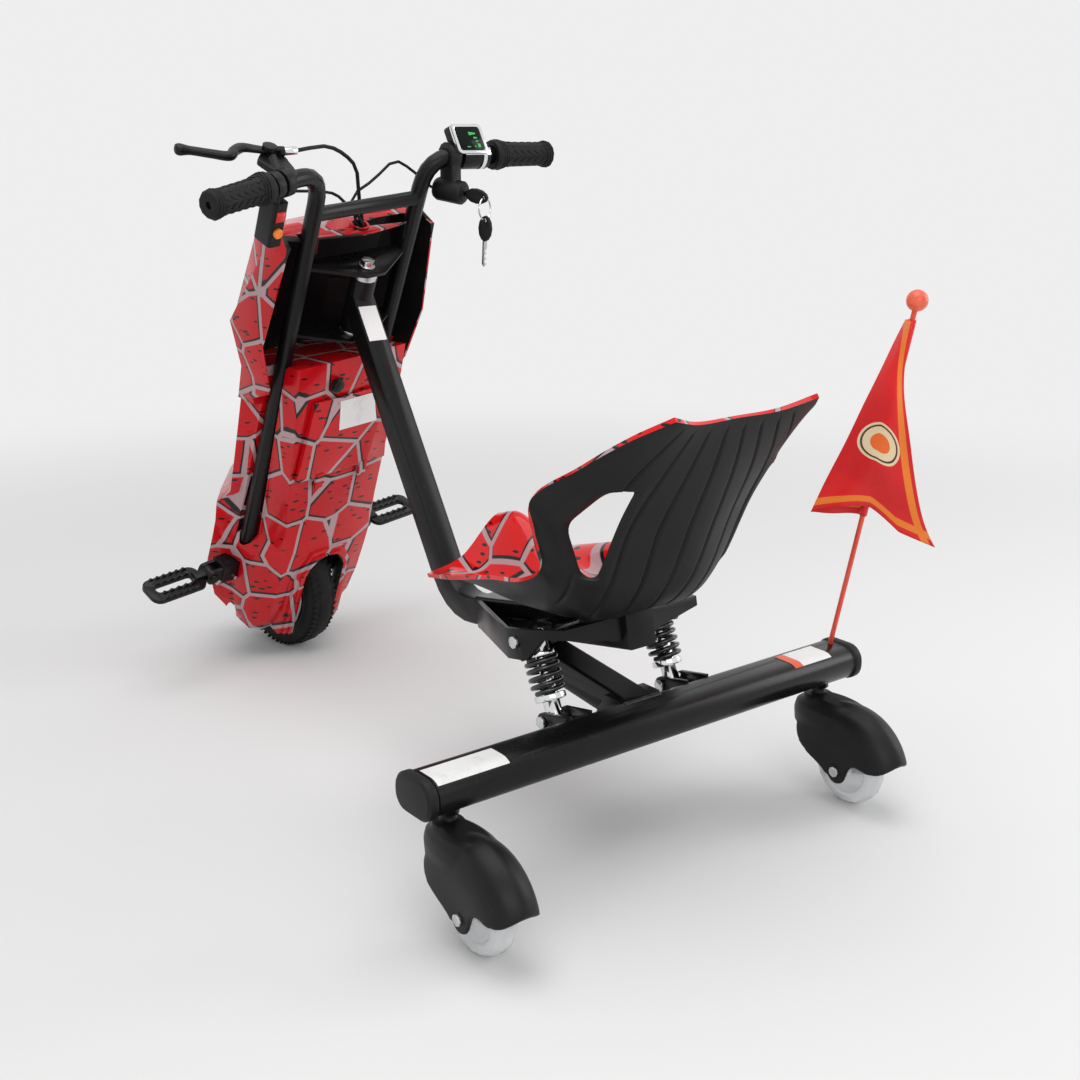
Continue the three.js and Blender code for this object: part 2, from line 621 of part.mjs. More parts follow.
// End caps of the beam: a rounded block with a plug that fits the tube
function beamCap() {
  const lip = roundRect(BEAM_D + 2 * CAP_LIP, BEAM_H + 2 * CAP_LIP, BEAM_H / 2 - EDGE, 0, BEAM_Z);
  const plugD = BEAM_D - 2 * BEAM_WALL - 2 * GAP;
  const plugH = BEAM_H - 2 * BEAM_WALL - 2 * GAP;
  const plug = roundRect(plugD, plugH, plugH / 2 - EDGE, 0, BEAM_Z);
  const end = BEAM_LEN / 2 + GAP;
  const cap = join(slab(lip, end, end + CAP_T, 'x', CAP_T / 5), slab(plug, end - CAP_PLUG, end + CAP_T / 2, 'x'));
  const clear = rod(POLE_R + CAP_LIP, poleFoot.clone().setX(-POLE_X), poleFoot.clone().setX(-POLE_X)
    .addScaledVector(poleDir, 3 * POLE_SINK), 10);
  return cut(cap, clear);
}
place('beam_cap_left', beamCap(), finish.plasticBlack);
place('beam_cap_right', mirrorX(beamCap()), finish.plasticBlack);

// Shock absorbers: each is drawn at the left and mirrored. The lower half slides on the upper half's rod.
const shockUp = shockTop.clone().sub(shockLow).normalize();
const shockLength = shockTop.distanceTo(shockLow);
const onShock = (along) => shockLow.clone().setX(SHOCK_X).addScaledVector(shockUp, along);
const SEAT_AT = 20; // where the lower spring seat starts, above the lower bolt
const TOP_SEAT_AT = 70;
const TOP_SEAT_T = 4;
const LOW_EYE_PLAY = 1;
const CYLINDER_TOP = 46;
const ROD_LOW = 31;
const PRONG_T = 5.5;

function shockEye(middle, width, radius, holeR) {
  const half = vec(width / 2, 0, 0);
  return pipe(radius, holeR, middle.clone().sub(half), middle.clone().add(half), 12);
}

function shockLower() {
  const eyeSolid = rod(SHOCK_EYE_R, onShock(0).setX(SHOCK_X - SHOCK_EYE_W / 2),
    onShock(0).setX(SHOCK_X + SHOCK_EYE_W / 2), 12);
  const stem = rod(SHOCK_BODY_R, onShock(0), onShock(CYLINDER_TOP), 12);
  const collar = turned([[0, SEAT_AT], [SHOCK_COLLAR_R - EDGE, SEAT_AT], [SHOCK_COLLAR_R, SEAT_AT + EDGE],
    [SHOCK_COLLAR_R, SEAT_AT + SHOCK_COLLAR_T], [0, SEAT_AT + SHOCK_COLLAR_T]], onShock(0), shockUp, 14);
  const bore = rod(SHOCK_ROD_R + GAP, onShock(SHOCK_EYE_R + SHOCK_BOLT_R), onShock(CYLINDER_TOP + OVERRUN), 10);
  const hole = rod(SHOCK_BOLT_R + LOW_EYE_PLAY, onShock(0).setX(0), onShock(0).setX(2 * SHOCK_X), 12);
  return cut(join(eyeSolid, stem, collar), bore, hole);
}

function shockUpper() {
  const top = onShock(shockLength);
  const barrel = shockEye(top, YOKE_W - PRONG_T, SHOCK_EYE_R - EDGE, SHOCK_BOLT_R + GAP);
  const prongs = [-1, 1].map((side) => {
    const inner = side * (YOKE_W / 2 - PRONG_T);
    const middle = (side * YOKE_W) / 2;
    const eye = rod(SHOCK_EYE_R, top.clone().setX(SHOCK_X + inner), top.clone().setX(SHOCK_X + middle), 10);
    const leg = slab([[-SHOCK_EYE_R, TOP_SEAT_AT], [SHOCK_EYE_R, TOP_SEAT_AT], [SHOCK_EYE_R, shockLength],
      [-SHOCK_EYE_R, shockLength]], Math.min(inner, middle), Math.max(inner, middle), 'x');
    return join(eye, leg.transform([1, 0, 0, 0, 0, shockUp.z, -shockUp.y, 0, 0, shockUp.y, shockUp.z, 0,
      SHOCK_X, SHOCK_LOW_Y, SHOCK_LOW_Z, 1]));
  });
  const seat = turned([[0, TOP_SEAT_AT], [SHOCK_COLLAR_R - EDGE, TOP_SEAT_AT], [SHOCK_COLLAR_R - EDGE,
    TOP_SEAT_AT + TOP_SEAT_T], [0, TOP_SEAT_AT + TOP_SEAT_T]], onShock(0), shockUp, 14);
  const stem = rod(SHOCK_ROD_R, onShock(ROD_LOW), onShock(TOP_SEAT_AT + TOP_SEAT_T), 10);
  const hole = rod(SHOCK_BOLT_R + GAP, top.clone().setX(0), top.clone().setX(2 * SHOCK_X), 12);
  return cut(join(barrel, ...prongs, seat, stem), hole);
}

// One unbroken tube that winds round the shock's axis from the lower seat to the upper one
function springCoil() {
  const STEPS = 8;
  const SIDES = 4;
  const low = SEAT_AT + SHOCK_COLLAR_T + GAP + SPRING_WIRE_R;
  const high = TOP_SEAT_AT - GAP - SPRING_WIRE_R;
  const count = SPRING_TURNS * STEPS;
  const side = vec(1, 0, 0);
  const across = shockUp.clone().cross(side);
  const rings = [];
  const middles = [];
  for (let k = 0; k <= count; k += 1) {
    const turn = (2 * Math.PI * k) / STEPS;
    const out = side.clone().multiplyScalar(Math.cos(turn)).addScaledVector(across, Math.sin(turn));
    const middle = onShock(low + ((high - low) * k) / count).addScaledVector(out, SPRING_R);
    middles.push(middle);
    rings.push(Array.from({ length: SIDES }, (_, i) => {
      const swing = (2 * Math.PI * i) / SIDES;
      return middle.clone().addScaledVector(out, SPRING_WIRE_R * Math.cos(swing))
        .addScaledVector(shockUp, SPRING_WIRE_R * Math.sin(swing));
    }));
  }
  return { solid: loft(rings), gap: leastGap(middles, STEPS) - 2 * SPRING_WIRE_R };
}

// The least distance between points of a winding that lie more than half a turn apart
function leastGap(points, stepsPerTurn) {
  let least = Infinity;
  points.forEach((p, i) => points.slice(i + Math.ceil(stepsPerTurn * 0.6)).forEach((q) => {
    least = Math.min(least, p.distanceTo(q));
  }));
  return least;
}
const spring = springCoil();
console.log(`spring: least gap between its turns ${spring.gap.toFixed(2)} mm`);
place('shock_upper_left', shockUpper(), finish.chrome);
place('shock_upper_right', mirrorX(shockUpper()), finish.chrome);
place('shock_lower_left', shockLower(), finish.chrome);
place('shock_lower_right', mirrorX(shockLower()), finish.chrome);
place('shock_spring_left', spring.solid, finish.frameBlack);
place('shock_spring_right', mirrorX(spring.solid), finish.frameBlack);

// Casters: a hooded fork on a swivel post, a clear wheel with a hub, and an axle bolt
const casterAxle = vec(0, CASTER_TRAIL, CASTER_WHEEL_R);
const HOOD_R = 77; // the hood's back is round the axle
const HOOD_INNER_R = 71;
const NECK_R = 21;
const NECK_TOP = 120.5; // height of the fork's shoulder above the floor
const SHOULDER_STRETCH = 2.2; // its length over its width
const LUG_DROP = 11;
const CASTER_BOLT_R = 6.5;

function casterFork() {
  const half = FORK_HALF_W;
  const hoodShares = [[0.6, -0.97], [0.86, -0.78], [1, -0.22], [1, 0.22], [0.86, 0.78], [0.6, 0.97]];
  const hood = (radius, width) => turned([[0, -width * 0.93],
    ...hoodShares.map(([r, x]) => [r * radius, x * width]), [0, width * 0.93]], casterAxle, vec(1, 0, 0), 18);
  // side outline: front edge down to the axle lug, the notch, the rear skirt and over the wheel
  const outline = new THREE.Shape();
  const [y0, z0] = [CASTER_TRAIL, CASTER_WHEEL_R];
  outline.moveTo(-FORK_FRONT, FORK_H + POST_R);
  outline.lineTo(-FORK_FRONT * 0.9, FORK_H - LUG_DROP);
  outline.lineTo(-FORK_FRONT * 0.2, FORK_H - 3 * LUG_DROP);
  outline.lineTo(y0 - 1.5 * LUG_DROP, z0 - LUG_DROP * 0.3);
  outline.absarc(y0, z0, LUG_DROP, Math.PI * 1.15, Math.PI * 1.98, false);
  outline.lineTo(y0 + 2.6 * LUG_DROP, z0 + 1.6 * LUG_DROP);
  outline.lineTo(y0 + 3.4 * LUG_DROP, z0 + LUG_DROP);
  outline.lineTo(FORK_L - FORK_FRONT - LUG_DROP, z0 + 1.9 * LUG_DROP);
  outline.lineTo(FORK_L - FORK_FRONT, z0 + 2.9 * LUG_DROP);
  outline.lineTo(FORK_L, 2 * FORK_H);
  outline.lineTo(-FORK_FRONT, 2 * FORK_H);
  const body = hood(HOOD_R, half).intersect(slab(outline, -2 * half, 2 * half, 'x'));
  // the shoulder is a round dome drawn out to the rear, so that it runs into the hood without a dip
  const shoulderShares = [[0, -1.9], [1.16, -1.9], [1.2, -1.1], [1.12, -0.6], [0.85, -0.2], [0.6, 0], [0, 0]];
  const shoulder = turned(shoulderShares.map(([r, up]) => [r * NECK_R, up * NECK_R]), vec(0, 0, 0), vec(0, 0, 1), 18)
    .scale([1, SHOULDER_STRETCH, 1])
    .translate([0, (SHOULDER_STRETCH - 1) * shoulderShares[2][0] * NECK_R, NECK_TOP]);
  const postTop = BEAM_Z + BEAM_H / 4 - NECK_TOP;
  const post = turned([[0, -NECK_R / 2], [0.62 * NECK_R, -NECK_R / 2], [0.62 * NECK_R, 0.36 * NECK_R],
    [POST_R, 0.36 * NECK_R], [POST_R, postTop], [0, postTop]], vec(0, 0, NECK_TOP), vec(0, 0, 1), 14);
  const neck = join(shoulder, post);
  const hollow = turned([[0, -half + FORK_WALL], [HOOD_INNER_R * 0.7, -half + FORK_WALL],
    [HOOD_INNER_R * 0.93, -half * 0.42], [HOOD_INNER_R * 0.93, half * 0.42], [HOOD_INNER_R * 0.7, half - FORK_WALL],
    [0, half - FORK_WALL]], casterAxle, vec(1, 0, 0), 14);
  const neckFoot = rod(NECK_R * 0.8, vec(0, 0, NECK_TOP - NECK_R), vec(0, 0, NECK_TOP), 14);
  const hole = rod(CASTER_AXLE_R + GAP, casterAxle.clone().setX(-2 * half), casterAxle.clone().setX(2 * half), 12);
  return cut(join(cut(join(body, neck), cut(hollow, neckFoot)), neckFoot), hole);
}

function casterWheel() {
  const r = CASTER_WHEEL_R;
  const w = CASTER_WHEEL_W / 2;
  const boss = FORK_HALF_W - FORK_WALL - RUN;
  const hubR = 0.2 * r;
  const bore = CASTER_AXLE_R + RUN;
  const half = [[bore, boss], [hubR, boss], [hubR * 1.15, w * 0.75], [0.64 * r, w * 0.75], [0.7 * r, w],
    [0.9 * r, w], [r, w * 0.4]];
  const mirrored = half.map(([radius, x]) => [radius, -x]).reverse();
  return turned([...half, ...mirrored, half[0]], casterAxle, vec(1, 0, 0), 18);
}

function casterBolt() {
  const half = FORK_HALF_W * 0.93;
  const length = 2 * half + 2 * GAP;
  const profile = [[0, -BOLT_HEAD_T], [CASTER_BOLT_R, -BOLT_HEAD_T], [CASTER_BOLT_R, 0], [CASTER_AXLE_R, 0],
    [CASTER_AXLE_R, length], [CASTER_BOLT_R, length], [CASTER_BOLT_R, length + BOLT_HEAD_T], [0, length + BOLT_HEAD_T]];
  return turned(profile, casterAxle.clone().setX(half + GAP), vec(-1, 0, 0), 8);
}

for (const [side, sign] of [['left', 1], ['right', -1]]) {
  const shift = [sign * HALF_TRACK, 0, 0];
  place(`caster_fork_${side}`, casterFork().translate(shift), finish.plasticBlack);
  place(`caster_wheel_${side}`, casterWheel().translate(shift), finish.clearWheel);
  place(`caster_axle_${side}`, casterBolt().translate(shift), finish.steel);
}

// Flag: pole, ball and hanging cloth with its sleeve
const poleAt = (along) => poleFoot.clone().addScaledVector(poleDir, along);
const BALL_AT = 462;
const BALL_HOLE = 9;
const CLOTH_TOP = 440;
const VIEW_TURN = 52.3; // degrees, the way the wind has laid the cloth
const FLY_OUT = 58;
const FLY_BACK = 84;
const FOLD_DEPTH = 12;
const CORNER_DROP = 34;

function flagCloth() {
  const out = vec(Math.sin(rad(VIEW_TURN)), -Math.cos(rad(VIEW_TURN)), 0);
  const near = vec(Math.cos(rad(VIEW_TURN)), Math.sin(rad(VIEW_TURN)), 0);
  const rows = 6;
  const columns = 12;
  const grid = Array.from({ length: rows }, (_, j) => {
    const down = j / (rows - 1);
    const spread = 0.14 + 0.86 * down;
    return Array.from({ length: columns }, (__, i) => {
      const u = i / (columns - 1);
      // the cloth goes out behind the pole to a fold, and comes back in front of it
      const turn = Math.PI * Math.min(u / 0.5, 1);
      const away = u < 0.5 ? -Math.cos(turn) * 0.5 + 0.5 : 1 - (2 * u - 1) * (1 + FLY_BACK / FLY_OUT);
      const depth = u < 0.5 ? -Math.sin(turn * 0.5) : -1 + 3 * Math.sin(Math.min((u - 0.5) * 3, 1) * Math.PI / 2);
      const wave = 0.3 * Math.sin(u * 9 + down * 3) * down * (u > 0.6 ? 1 : 0);
      const sag = CORNER_DROP * Math.max(0, u - 0.72) / 0.28 * down;
      return poleAt(CLOTH_TOP - FLAG_H * down)
        .addScaledVector(out, FLY_OUT * spread * away)
        .addScaledVector(near, FOLD_DEPTH * (depth + wave) * Math.sqrt(spread))
        .add(vec(0, 0, -sag));
    });
  });
  const cloth = sheet(grid, FLAG_T);
  const sleeveR = POLE_R + GAP + FLAG_T;
  const sleeve = rod(sleeveR, poleAt(CLOTH_TOP - FLAG_H), poleAt(CLOTH_TOP), 14);
  const hole = rod(POLE_R + GAP, poleAt(CLOTH_TOP - FLAG_H - 3 * OVERRUN), poleAt(CLOTH_TOP + 3 * OVERRUN), 14);
  return cut(join(cloth, sleeve), hole);
}

// A closed solid round a grid of points, with its thickness on both sides
function sheet(grid, thickness) {
  const rows = grid.length;
  const columns = grid[0].length;
  const clampTo = (i, most) => Math.min(Math.max(i, 0), most);
  const at = (j, i) => grid[clampTo(j, rows - 1)][clampTo(i, columns - 1)];
  const offset = (side) => grid.map((row, j) => row.map((p, i) => {
    const along = at(j, i + 1).clone().sub(at(j, i - 1));
    const down = at(j + 1, i).clone().sub(at(j - 1, i));
    const normal = along.cross(down).normalize();
    return p.clone().addScaledVector(normal, (side * thickness) / 2);
  }));
  const layers = [offset(1), offset(-1)];
  const id = (layer, j, i) => (layer * rows + j) * columns + i;
  const index = [];
  const quad = (a, b, c, d) => index.push(a, b, c, a, c, d);
  for (let j = 0; j < rows - 1; j += 1) {
    for (let i = 0; i < columns - 1; i += 1) {
      quad(id(0, j, i), id(0, j, i + 1), id(0, j + 1, i + 1), id(0, j + 1, i));
      quad(id(1, j, i), id(1, j + 1, i), id(1, j + 1, i + 1), id(1, j, i + 1));
    }
  }
  for (let i = 0; i < columns - 1; i += 1) {
    quad(id(0, 0, i), id(1, 0, i), id(1, 0, i + 1), id(0, 0, i + 1));
    quad(id(0, rows - 1, i), id(0, rows - 1, i + 1), id(1, rows - 1, i + 1), id(1, rows - 1, i));
  }
  for (let j = 0; j < rows - 1; j += 1) {
    quad(id(0, j, 0), id(0, j + 1, 0), id(1, j + 1, 0), id(1, j, 0));
    quad(id(0, j, columns - 1), id(1, j, columns - 1), id(1, j + 1, columns - 1), id(0, j + 1, columns - 1));
  }
  const geometry = new THREE.BufferGeometry();
  const positions = layers.flat(2).flatMap((p) => [p.x, p.y, p.z]);
  geometry.setAttribute('position', new THREE.BufferAttribute(new Float32Array(positions), 3));
  geometry.setIndex(index);
  return toSolid(geometry);
}

function flagBall() {
  const ball = toSolid(new THREE.SphereGeometry(BALL_R, 12, 7).translate(...poleAt(BALL_AT).toArray()));
  return cut(ball, rod(POLE_R + GAP, poleAt(BALL_AT - 2 * BALL_R), poleAt(BALL_AT - BALL_R + BALL_HOLE), 10));
}
place('flag_pole', rod(POLE_R, poleAt(POLE_SINK / 3 + GAP), poleAt(BALL_AT - BALL_R + BALL_HOLE - GAP), 12),
  finish.orange);
place('flag_ball', flagBall(), finish.ballOrange);
place('flag_cloth', flagCloth(), finish.red);

// Seat: a thin bucket whose back and underside follow smooth curves through hand-set stations.
// Each station lists its middle, its channel and its edge as shares: half width, length and height.
const SEAT_L = 440;
const SEAT_Y = -300; // the front lip
const SEAT_Z = 255; // the lowest edge
const SEAT_H = 270;
const seatShares = [
  [[0, 0.06, 0.23], [0.33, 0.02, 0.075], [0.61, 0, 0.03]],
  [[0, 0.13, 0.25], [0.36, 0.11, 0.06], [0.72, 0.1, 0.03]],
  [[0, 0.29, 0.16], [0.4, 0.26, 0.04], [0.81, 0.24, 0.045]],
  [[0, 0.45, 0.088], [0.44, 0.43, 0.055], [0.87, 0.41, 0.11]],
  [[0, 0.59, 0.097], [0.48, 0.56, 0.088], [0.92, 0.535, 0.3]],
  [[0, 0.68, 0.125], [0.5, 0.64, 0.13], [1, 0.57, 0.58]],
  [[0, 0.76, 0.25], [0.51, 0.71, 0.27], [1.01, 0.655, 0.68]],
  [[0, 0.84, 0.53], [0.52, 0.79, 0.535], [0.93, 0.78, 0.79]],
  [[0, 0.9, 0.76], [0.47, 0.885, 0.775], [0.81, 0.9, 0.92]],
  [[0, 0.936, 0.95], [0.37, 0.947, 0.965], [0.645, 0.973, 1]],
];
const windowShares = [[0.825, 0.7], [0.9, 0.715], [0.845, 0.47], [0.73, 0.35], [0.69, 0.5]];

function seatPoint([x, y, z]) {
  return vec(x * SEAT_HALF_W, SEAT_Y + y * SEAT_L, SEAT_Z + z * SEAT_H);
}

function seatGrid(rows, columns) {
  const lines = [0, 1, 2].map((k) => new THREE.CatmullRomCurve3(seatShares.map((row) => seatPoint(row[k]))));
  return Array.from({ length: rows }, (_, j) => {
    const [middle, channel, edge] = lines.map((line) => line.getPoint(j / (rows - 1)));
    const mirrored = (p) => p.clone().setX(-p.x);
    const across = new THREE.CatmullRomCurve3([mirrored(edge), mirrored(channel), middle, channel, edge]);
    return Array.from({ length: columns }, (__, i) => across.getPoint(i / (columns - 1)));
  });
}

function seatShell() {
  const shell = sheet(seatGrid(17, 13), SEAT_T);
  const window = windowShares.map(([y, z]) => [SEAT_Y + y * SEAT_L, SEAT_Z + z * SEAT_H]);
  const opening = slab(window, 0.45 * SEAT_HALF_W, 1.5 * SEAT_HALF_W, 'x');
  return cut(join(shell, ...seatBosses()), opening, mirrorX(opening));
}

const BOSS_R = 12;
const FRONT_BOSS_AT = 103.68; // along the sleeve
const REAR_BOSS_X = 48;
function seatBosses() {
  // a pedestal on the sleeve at the front, and two round bosses on the cross bar at the rear
  const foot = sleevePoint(FRONT_BOSS_AT, SLEEVE_H / 2 + GAP);
  const tall = SEAT_Z + 0.16 * SEAT_H - foot.z;
  const front = block(2 * BOSS_R, 2.4 * BOSS_R, tall, 0, foot.y, foot.z + tall / 2);
  const footCut = onSleeve(block(TRACK, 2 * SLEEVE_LEN, SLEEVE_H, 0, SLEEVE_LEN / 2, GAP));
  const rear = sleevePoint(CROSS_AT, RAIL_H / 2 + GAP, REAR_BOSS_X);
  const round = rod(BOSS_R, rear.clone().addScaledVector(sleeveUp, -BOSS_R), rear.clone().setZ(SEAT_Z + 0.11 * SEAT_H), 12);
  const barCut = onSleeve(block(TRACK, 2 * SLEEVE_LEN, RAIL_H, 0, SLEEVE_LEN / 2, GAP));
  return [cut(front, footCut), cut(round, barCut), mirrorX(cut(round, barCut))];
}
place('seat_shell', seatShell(), finish.seatRed);

// From here on each point is in the steering group's own frame: x to the left hand, q square to the
// steering axis and to the rear, s up along the steering axis from the middle of the head tube.
const tiltSin = Math.sin(rad(RAKE));
const tiltCos = Math.cos(rad(RAKE));
const restCos = Math.cos(rad(STEER_REST));
const restSin = Math.sin(rad(STEER_REST));

// The front axle's height follows from the tyre, so that the tyre stands on the floor as it is turned
const TYRE_CROWN = 25;
const TRAIL_BACK = -23.7; // the wheel's middle, square to the steering axis
const wheelLean = restSin * tiltSin;
const axleHeight = (TYRE_R - TYRE_CROWN) * Math.sqrt(1 - wheelLean * wheelLean) + TYRE_CROWN;
const axleS = (axleHeight - HEAD_Z + TRAIL_BACK * restCos * tiltSin) / tiltCos;
const wheelMiddle = vec(0, TRAIL_BACK, axleS);

// Handlebar: two bent tubes from the axle's dropouts up to the grips, a cross bar and two steering plates
const barSlope = (GRIP_Q - BAR_OFFSET) / (GRIP_X - UPRIGHT_X);
const onBar = (x) => vec(x, BAR_OFFSET + (Math.abs(x) - UPRIGHT_X) * barSlope, GRIP_S);
const barOut = onBar(GRIP_X).sub(onBar(UPRIGHT_X)).normalize(); // to the left hand's end
const barOutRight = barOut.clone().setX(-barOut.x);
const barOutSlope = -barSlope;
const plateTop = HEAD_HALF + GAP + UPPER_FLANGE_T + GAP;
const plateLow = -(HEAD_HALF + GAP + LOWER_FLANGE_T + GAP);
const PLATE_APEX_Q = 21;
const PLATE_CORNER_Q = -18;
const PLATE_FRONT_Q = -34;
const DROPOUT_T = 6;
const DROPOUT_W = 30;

function steeringPlate(low) {
  const side = UPRIGHT_X - BAR_R * 0.5;
  const flat = HEAD_R * 0.9;
  const outline = [[-side, PLATE_FRONT_Q], [side, PLATE_FRONT_Q], [side, PLATE_CORNER_Q], [flat, PLATE_APEX_Q],
    [-flat, PLATE_APEX_Q], [-side, PLATE_CORNER_Q]];
  const plate = slab(outline, low, low + PLATE_T, 'z');
  return cut(plate, rod(STEM_R + GAP, vec(0, 0, low - OVERRUN), vec(0, 0, low + PLATE_T + OVERRUN), 20));
}

const barFoot = vec(UPRIGHT_X, BAR_OFFSET, axleS + DROPOUT_W * 0.7);
const barPath = bentPath([barFoot, onBar(UPRIGHT_X), onBar(GRIP_X)], BEND_R, 6);

function barSide() {
  const half = DROPOUT_W / 2;
  const tab = new THREE.Shape();
  tab.moveTo(BAR_OFFSET + half * 0.7, axleS + 2 * DROPOUT_W);
  tab.lineTo(BAR_OFFSET - half * 0.7, axleS + 2 * DROPOUT_W);
  tab.lineTo(TRAIL_BACK - half, axleS);
  tab.absarc(TRAIL_BACK, axleS, half, Math.PI, 2 * Math.PI, false);
  return join(tube(barPath, BAR_R, 10), slab(tab, UPRIGHT_X - DROPOUT_T / 2, UPRIGHT_X + DROPOUT_T / 2, 'x'));
}

function handlebar() {
  const left = barSide();
  const cross = rod(CROSSBAR_R, vec(-UPRIGHT_X, BAR_OFFSET, CROSSBAR_S), vec(UPRIGHT_X, BAR_OFFSET, CROSSBAR_S), 14);
  const welded = join(left, mirrorX(left), cross, steeringPlate(plateTop), steeringPlate(plateLow - PLATE_T));
  return cut(welded, rod(AXLE_R + GAP, wheelMiddle.clone().setX(-GRIP_X), wheelMiddle.clone().setX(GRIP_X), 16));
}
place('handlebar', handlebar(), finish.frameBlack, steering);

// Steering bolt: it clamps both plates on the head bearings
const WASHER_R = 11;
const WASHER_T = 2;
const HEX_R = 9;
const HEX_T = 7;
function steeringBolt() {
  const top = plateTop + PLATE_T + GAP;
  const low = plateLow - PLATE_T - GAP;
  const shank = turned([[0, low - WASHER_T - HEX_T], [STEM_R, low - WASHER_T - HEX_T], [STEM_R, low - WASHER_T],
    [WASHER_R, low - WASHER_T], [WASHER_R, low], [STEM_R, low], [STEM_R, top], [WASHER_R, top],
    [WASHER_R, top + WASHER_T], [0, top + WASHER_T]], vec(0, 0, 0), vec(0, 0, 1), 18);
  const hexTop = rod(HEX_R, vec(0, 0, top + WASHER_T / 2), vec(0, 0, top + WASHER_T + HEX_T), 6);
  const hexLow = rod(HEX_R, vec(0, 0, low - WASHER_T - HEX_T), vec(0, 0, low - WASHER_T / 2), 6);
  return join(shank, hexTop, hexLow);
}
place('steering_bolt', steeringBolt(), finish.chrome, steering);

// Front wheel: axle, hub motor with its rim, and the tyre
const RIM_SEAT = RIM_R + GAP;
const WHEEL_SIDES = 24; // the rim and the tyre share their corners
function frontAxle() {
  const half = UPRIGHT_X + DROPOUT_T / 2 + GAP;
  const nut = AXLE_R * 1.4;
  const nutT = AXLE_R * 0.65;
  const inner = UPRIGHT_X - DROPOUT_T / 2 - GAP;
  const shoulder = AXLE_R * 1.5;
  const side = [[AXLE_R * 0.8, half + 1.2 * nutT], [AXLE_R * 0.8, half + nutT], [nut, half + nutT], [nut, half],
    [AXLE_R, half],
    [AXLE_R, inner], [shoulder, inner], [shoulder, MOTOR_W / 2 + RUN], [AXLE_R, MOTOR_W / 2 + RUN]];
  const other = side.map(([r, x]) => [r, -x]).reverse();
  return turned([[0, half + 1.2 * nutT], ...side, ...other, [0, -half - 1.2 * nutT]], wheelMiddle, vec(1, 0, 0), 10);
}

function frontHub() {
  const w = MOTOR_W / 2;
  const rim = RIM_W / 2;
  const bore = AXLE_R + RUN;
  const half = [[bore, w], [0.36 * MOTOR_R, w], [0.96 * MOTOR_R, 0.8 * w], [0.86 * RIM_R, 0.55 * rim],
     [0.92 * RIM_R, rim], [RIM_R, rim], [RIM_R, 0.72 * rim], [0.9 * RIM_R, 0.4 * rim]];
  const other = half.map(([r, x]) => [r, -x]).reverse();
  return turned([...half, ...other, half[0]], wheelMiddle, vec(1, 0, 0), WHEEL_SIDES);
}

function frontTyre() {
  const w = TYRE_W / 2;
  const wall = TYRE_R - RIM_SEAT;
  const half = [[RIM_SEAT, 0.6 * w], [RIM_SEAT, 0.8 * w], [RIM_SEAT + 0.25 * wall, 0.96 * w],
    [RIM_SEAT + 0.6 * wall, 0.98 * w], [RIM_SEAT + 0.88 * wall, 0.68 * w], [TYRE_R, 0.2 * w]];
  const other = half.map(([r, x]) => [r, -x]).reverse();
  return turned([...half, ...other, [0.93 * RIM_SEAT, 0], half[0]], wheelMiddle, vec(1, 0, 0), WHEEL_SIDES);
}
place('front_axle', frontAxle(), finish.steel, steering);
place('front_hub', frontHub(), finish.alloy, steering);
place('front_tyre', frontTyre(), finish.rubber, steering);

// Fairing: a moulded shell of two lofts. The upper loft is the hood with its two wings, the lower one
// holds the battery and the wheel arch. Rows are [level share, [half width share, depth share]...],
// from the middle of the back round the left side to the middle of the nose.
const upperShares = [
  [HULL_TOP, [[0, -0.07], [0.53, -0.13], [0.89, -0.113, -0.016], [0.85, -0.25], [0.69, -0.39], [0.36, -0.395],
    [0, -0.395]]],
  [0.77 * HULL_TOP, [[0, -0.07], [0.53, -0.12], [0.893, -0.107], [0.895, -0.36], [0.8, -0.62], [0.4, -0.68],
    [0, -0.7]]],
  [-0.088 * HULL_DROP, [[0, -0.07], [0.53, -0.1], [1, -0.073], [1.007, -0.53], [0.8, -0.7], [0.43, -0.86],
    [0, -0.9]]],
  [-0.212 * HULL_DROP, [[0, -0.07], [0.53, -0.1], [0.865, -0.02], [0.865, -0.43], [0.72, -0.58], [0.4, -0.8],
    [0, -0.86]]],
  [-0.3 * HULL_DROP, [[0, -0.07], [0.53, -0.1], [0.714, -0.06], [0.86, -0.4], [0.72, -0.54], [0.4, -0.78],
    [0, -0.84]]],
];
